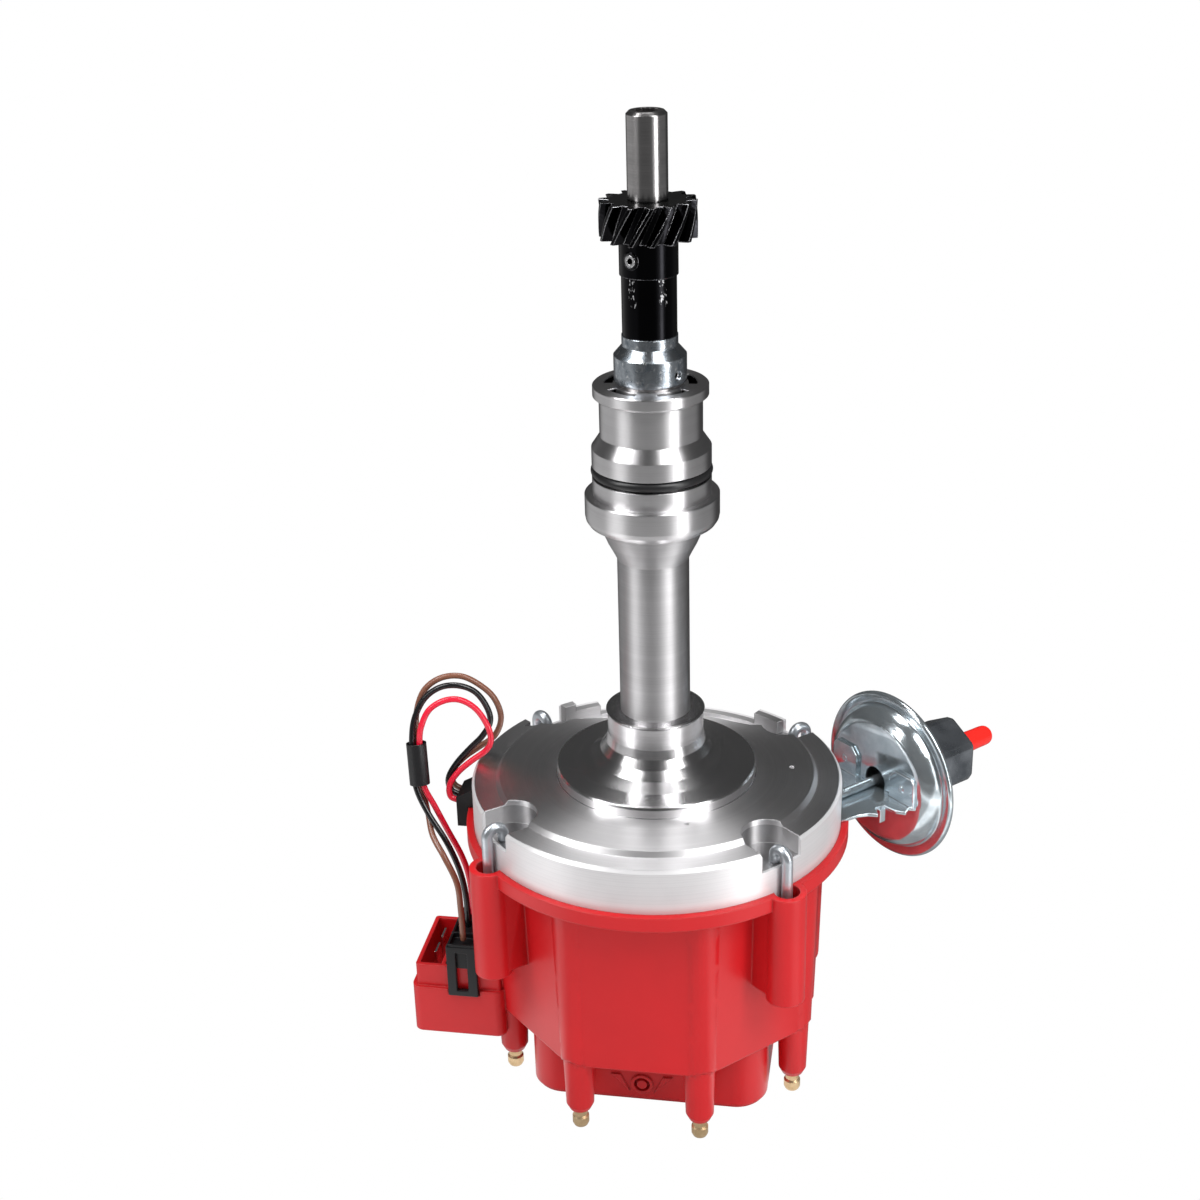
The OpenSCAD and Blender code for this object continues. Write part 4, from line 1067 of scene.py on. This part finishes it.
bracket = as_piece("canister_bracket", joined("canister_bracket", bracket), "body", "zinc",
                   sharp=18.0)
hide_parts("vac_bracket")

# %% [markdown]
# ## The springs
# A coil spring sits round each latch rod, one pushes the canister's diaphragm back, and a small
# one presses the carbon brush on the rotor. A screw modifier would wind one of them, but a spring
# is one wire that climbs evenly as it goes round, so a Geometry Nodes tree can make them all from
# four numbers. The tree winds a line into a helix, gives it a round wire and puts a copy on every
# seat that it is handed.

# %% Build the tree that winds springs
STEPS_PER_TURN, WIRE_SIDES = 20.0, 10


def make_winder():
    """A Geometry Nodes tree that puts a wound spring on every point of its seats."""
    tree = bpy.data.node_groups.new("spring_winder", "GeometryNodeTree")
    face = tree.interface
    face.new_socket(name="Seats", in_out="INPUT", socket_type="NodeSocketGeometry")
    for label, value in (("Coil radius", 0.004), ("Wire radius", 0.0005), ("Length", 0.017),
                         ("Turns", 8.0)):
        socket = face.new_socket(name=label, in_out="INPUT", socket_type="NodeSocketFloat")
        socket.default_value = value
    face.new_socket(name="Finish", in_out="INPUT", socket_type="NodeSocketMaterial")
    face.new_socket(name="Springs", in_out="OUTPUT", socket_type="NodeSocketGeometry")
    build = Tree(tree)
    inlet, outlet = build.add("NodeGroupInput"), build.add("NodeGroupOutput")
    coil, thick = inlet.outputs["Coil radius"], inlet.outputs["Wire radius"]

    # the wire's middle line: a straight line, laid round a circle as it climbs
    line = build.add("GeometryNodeCurvePrimitiveLine")
    fine = build.add("GeometryNodeResampleCurve", mode="COUNT")
    build.join(line.outputs["Curve"], fine.inputs["Curve"])
    build.join(build.plus(build.times(inlet.outputs["Turns"], STEPS_PER_TURN), 1.0),
               fine.inputs["Count"])
    along = build.add("GeometryNodeSplineParameter").outputs["Factor"]
    angle = build.times(build.times(along, inlet.outputs["Turns"]), 2*math.pi)
    climb = build.math("SUBTRACT", inlet.outputs["Length"], build.times(thick, 2.0))
    spot = build.add("ShaderNodeCombineXYZ")
    build.join(build.times(build.math("COSINE", angle), coil), spot.inputs["X"])
    build.join(build.times(build.math("SINE", angle), coil), spot.inputs["Y"])
    build.join(build.plus(build.times(along, climb), thick), spot.inputs["Z"])
    helix = build.add("GeometryNodeSetPosition")
    build.join(fine.outputs["Curve"], helix.inputs["Geometry"])
    build.join(spot.outputs["Vector"], helix.inputs["Position"])

    # the round wire, a copy of it on each seat, and its finish
    ring = build.add("GeometryNodeCurvePrimitiveCircle")
    ring.inputs["Resolution"].default_value = WIRE_SIDES
    build.join(thick, ring.inputs["Radius"])
    wire = build.add("GeometryNodeCurveToMesh")
    wire.inputs["Fill Caps"].default_value = True
    build.join(helix.outputs["Geometry"], wire.inputs["Curve"])
    build.join(ring.outputs["Curve"], wire.inputs["Profile Curve"])
    copies = build.add("GeometryNodeInstanceOnPoints")
    build.join(inlet.outputs["Seats"], copies.inputs["Points"])
    build.join(wire.outputs["Mesh"], copies.inputs["Instance"])
    real = build.add("GeometryNodeRealizeInstances")
    build.join(copies.outputs["Instances"], real.inputs["Geometry"])
    finish = build.add("GeometryNodeSetMaterial")
    build.join(real.outputs["Geometry"], finish.inputs["Geometry"])
    build.join(inlet.outputs["Finish"], finish.inputs["Material"])
    build.join(finish.outputs["Geometry"], outlet.inputs["Springs"])
    return tree


WINDER = make_winder()
print("spring winder has", len(WINDER.nodes), "nodes")

# %% Wind the springs
LATCH_REACH, LATCH_BEARINGS, LATCH_SEAT = 70.7, (-140.25, -42.3, 42.5, 140.25), BOWL - 57.75
DIAPHRAGM_SEAT, DIAPHRAGM_LENGTH = 9.95, 16.6  # from the front of the canister
BRUSH_SEAT, BRUSH_LENGTH = BOWL - 92.25, 2.8


def springs(name, seats, coil, wire, length, turns, node, place):
    """Springs of one size, on their seats, in millimetres, as one mesh that replaces a node."""
    points = stand("seats", mesh_of("seats", seats, []))
    winder = points.modifiers.new("winder", "NODES")
    winder.node_group = WINDER
    values = {"Coil radius": coil*MM, "Wire radius": wire*MM, "Length": length*MM,
              "Turns": float(turns), "Finish": FINISH["spring_steel"]}
    for socket in WINDER.interface.items_tree:
        if socket.in_out == "INPUT" and socket.name in values:
            winder[socket.identifier] = values[socket.name]
    mesh = plain_mesh(points)
    mesh.transform(Matrix.Scale(MM, 4) @ place @ Matrix.Scale(1/MM, 4))
    piece = as_piece(name, mesh, "body", "spring_steel", sharp=60.0)
    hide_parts(node)
    return piece


latch_seats = [(LATCH_REACH*math.cos(math.radians(a)), LATCH_REACH*math.sin(math.radians(a)),
                LATCH_SEAT) for a in LATCH_BEARINGS]
springs("latch_coils", latch_seats, 4.2, 0.8, 17.4, 9, "latch_springs", Matrix.Identity(4))
diaphragm_coil = springs("diaphragm_coil", [(0, 0, DIAPHRAGM_SEAT)], 9.5, 0.7,
                         DIAPHRAGM_LENGTH, 6, "vac_spring", TO_CAN)
brush_coil = springs("brush_coil", [(0, 0, BRUSH_SEAT)], 2.6, 0.25, BRUSH_LENGTH, 4,
                     "brush_spring", Matrix.Identity(4))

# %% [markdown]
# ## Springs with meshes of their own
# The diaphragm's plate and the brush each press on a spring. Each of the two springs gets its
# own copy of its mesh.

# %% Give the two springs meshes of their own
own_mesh(diaphragm_coil)
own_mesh(brush_coil)

# %% [markdown]
# ## The red cap as one moulding
# The drawing builds the cap from four solids, because the motion study needs them apart: the wall,
# the end plate with its towers, the latch posts and the hood. The real cap is one moulding with no
# seam. Placing the four side by side would show a line at each joint. A boolean union melts copies
# of the four into one skin, and weighted normals keep its flats flat beside the rounded lobes.

# %% Melt the four solids into one moulding
CAP_PARTS, CAP_SHARP = ("cap", "cap_top", "cap_posts", "cap_hood"), 24.0
CAD_MERGE = 1e-6  # in metres
FLAT_ENOUGH = math.radians(0.7)  # faces that meet at less than this become one


def clean_copy(name):
    """A merged copy of a CAD node, as a loose object."""
    mesh = reworked(nodes[name].data.copy(), lambda shape: bmesh.ops.remove_doubles(
        shape, verts=shape.verts, dist=CAD_MERGE))
    return stand(name + "_copy", mesh)


def melted(name, parts, sharp):
    """One mesh from several CAD nodes, without the walls between them."""
    whole, *others = [clean_copy(part) for part in parts]
    for other in others:
        join = whole.modifiers.new("melt", "BOOLEAN")
        join.operation, join.solver, join.object = "UNION", "EXACT", other
    mesh = plain_mesh(whole)
    for other in others:
        bpy.data.objects.remove(other)
    reworked(mesh, lambda shape: bmesh.ops.dissolve_limit(
        shape, angle_limit=FLAT_ENOUGH, verts=shape.verts, edges=shape.edges))
    shade(mesh, sharp)
    holder = stand(name, mesh)
    even = holder.modifiers.new("even", "WEIGHTED_NORMAL")
    even.keep_sharp = True
    mesh = plain_mesh(holder)
    mesh.name = name
    return mesh


cap_moulding = stand("cap_moulding", melted("cap_moulding", CAP_PARTS, CAP_SHARP))
wear(cap_moulding, FINISH["red_plastic"])
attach(cap_moulding, "body")
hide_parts(*CAP_PARTS)
skin_check = bmesh.new()
skin_check.from_mesh(cap_moulding.data)
print("cap_moulding has", len(skin_check.faces), "faces and",
      len([e for e in skin_check.edges if not e.is_manifold]), "open edges")
skin_check.free()

# %% [markdown]
# ## The plug on the cap
# The plug is a black moulding with a cell for each lead, and a sprung clip down its front that
# snaps over the red hood. The clip is a frame: two legs with a long slot between them. Sculpting
# would gain nothing on such straight walls: blocks with rounded edges are enough, as long as
# their edges catch the light.

# %% Build the plug from rounded blocks
TO_BOWL = Matrix.Translation((0, 0, BOWL))
RIB = 1.0  # thickness of the walls round the cells


def block(low, high, bevel=0.35):
    """A mesh: a block from one corner to the other, in bowl millimetres, with rounded edges."""
    (x0, y0, z0), (x1, y1, z1) = low, high
    return sheet_metal("block", [(x0, y0), (x1, y0), (x1, y1), (x0, y1)], z0, z1, TO_BOWL, bevel)


def clip_frame(outer, inner, y0, y1, bevel=0.3):
    """A mesh: a flat frame between two rectangles (x0, z0, x1, z1), from y0 to y1."""
    corners = [[(x0, z0), (x1, z0), (x1, z1), (x0, z1)] for x0, z0, x1, z1 in (outer, inner)]
    points = [TO_BOWL @ Vector((x, y, z)) for y in (y0, y1) for loop in corners for x, z in loop]
    faces = []
    for i in range(4):
        j = (i + 1) % 4
        faces += [(i, j, 4 + j, 4 + i), (8 + i, 8 + j, 12 + j, 12 + i), (i, j, 8 + j, 8 + i),
                  (4 + i, 4 + j, 12 + j, 12 + i)]
    return rounded(mesh_of("clip", points, faces), bevel)


plug_blocks = [block((-75.4, -31.45, -73.9), (-64.6, -7.6, -64.4)),
               block((-75.8, -28.2, -84.3), (-64.5, -8, -73.4)),
               clip_frame((-76, -85.2, -64.4, -63.2), (-72.4, -82.8, -68.1, -65.9),
                          -33.2, -31.4)]
for y in (-33.0, -24.9, -16.1, -8.4):
    plug_blocks.append(block((-75.6, y, -65), (-64.4, y + RIB, -62.3), 0.25))
for x in (-75.6, -65.4):
    plug_blocks.append(block((x, -33.0, -65), (x + RIB, -7.5, -62.6), 0.25))
plug_piece = as_piece("plug_moulding", joined("plug_moulding", plug_blocks), "body",
                      slot_of["plug"], sharp=18.0)
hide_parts("plug")

# %% [markdown]
# ## The seat of the roll pin
# The hole for the pin is broken at its edge, and that ring catches the light on the black hub.
# A flat ring would float off the round hub at its sides, so every point is set on the hub's own
# curve: the further a point lies to the side, the further back it sits.

# %% Raise the ring round the roll pin
HUB_R, PIN_HEIGHT, PIN_BEARING = 9.85, 82.5, math.radians(-119)
PIN_ROUNDS = 48
# distance from the pin's middle, and how far the ring stands out of the hub
ACROSS = ((2.05, -0.5), (2.05, 0.02), (2.3, 0.2), (2.75, 0.2), (3.1, 0.02), (3.15, -0.5))
points = []
for k in range(PIN_ROUNDS):
    angle = 2*math.pi*k/PIN_ROUNDS
    for reach, out in ACROSS:
        side, rise = reach*math.cos(angle), reach*math.sin(angle)
        points.append(Matrix.Rotation(PIN_BEARING, 4, "Z") @ Vector(
            (math.sqrt(HUB_R**2 - side**2) + out, side, PIN_HEIGHT + rise)))
as_piece("pin_seat", mesh_of("pin_seat", points, skin(len(ACROSS), PIN_ROUNDS)), "shaft",
         "black_oxide")

# %% [markdown]
# ## The last step
# A dressed model that has grown or slipped is of no use to the drawing. The CAD's box is printed
# near the start; here the scene is only brought up to date.

# %% Bring the scene up to date
bpy.context.view_layer.update()
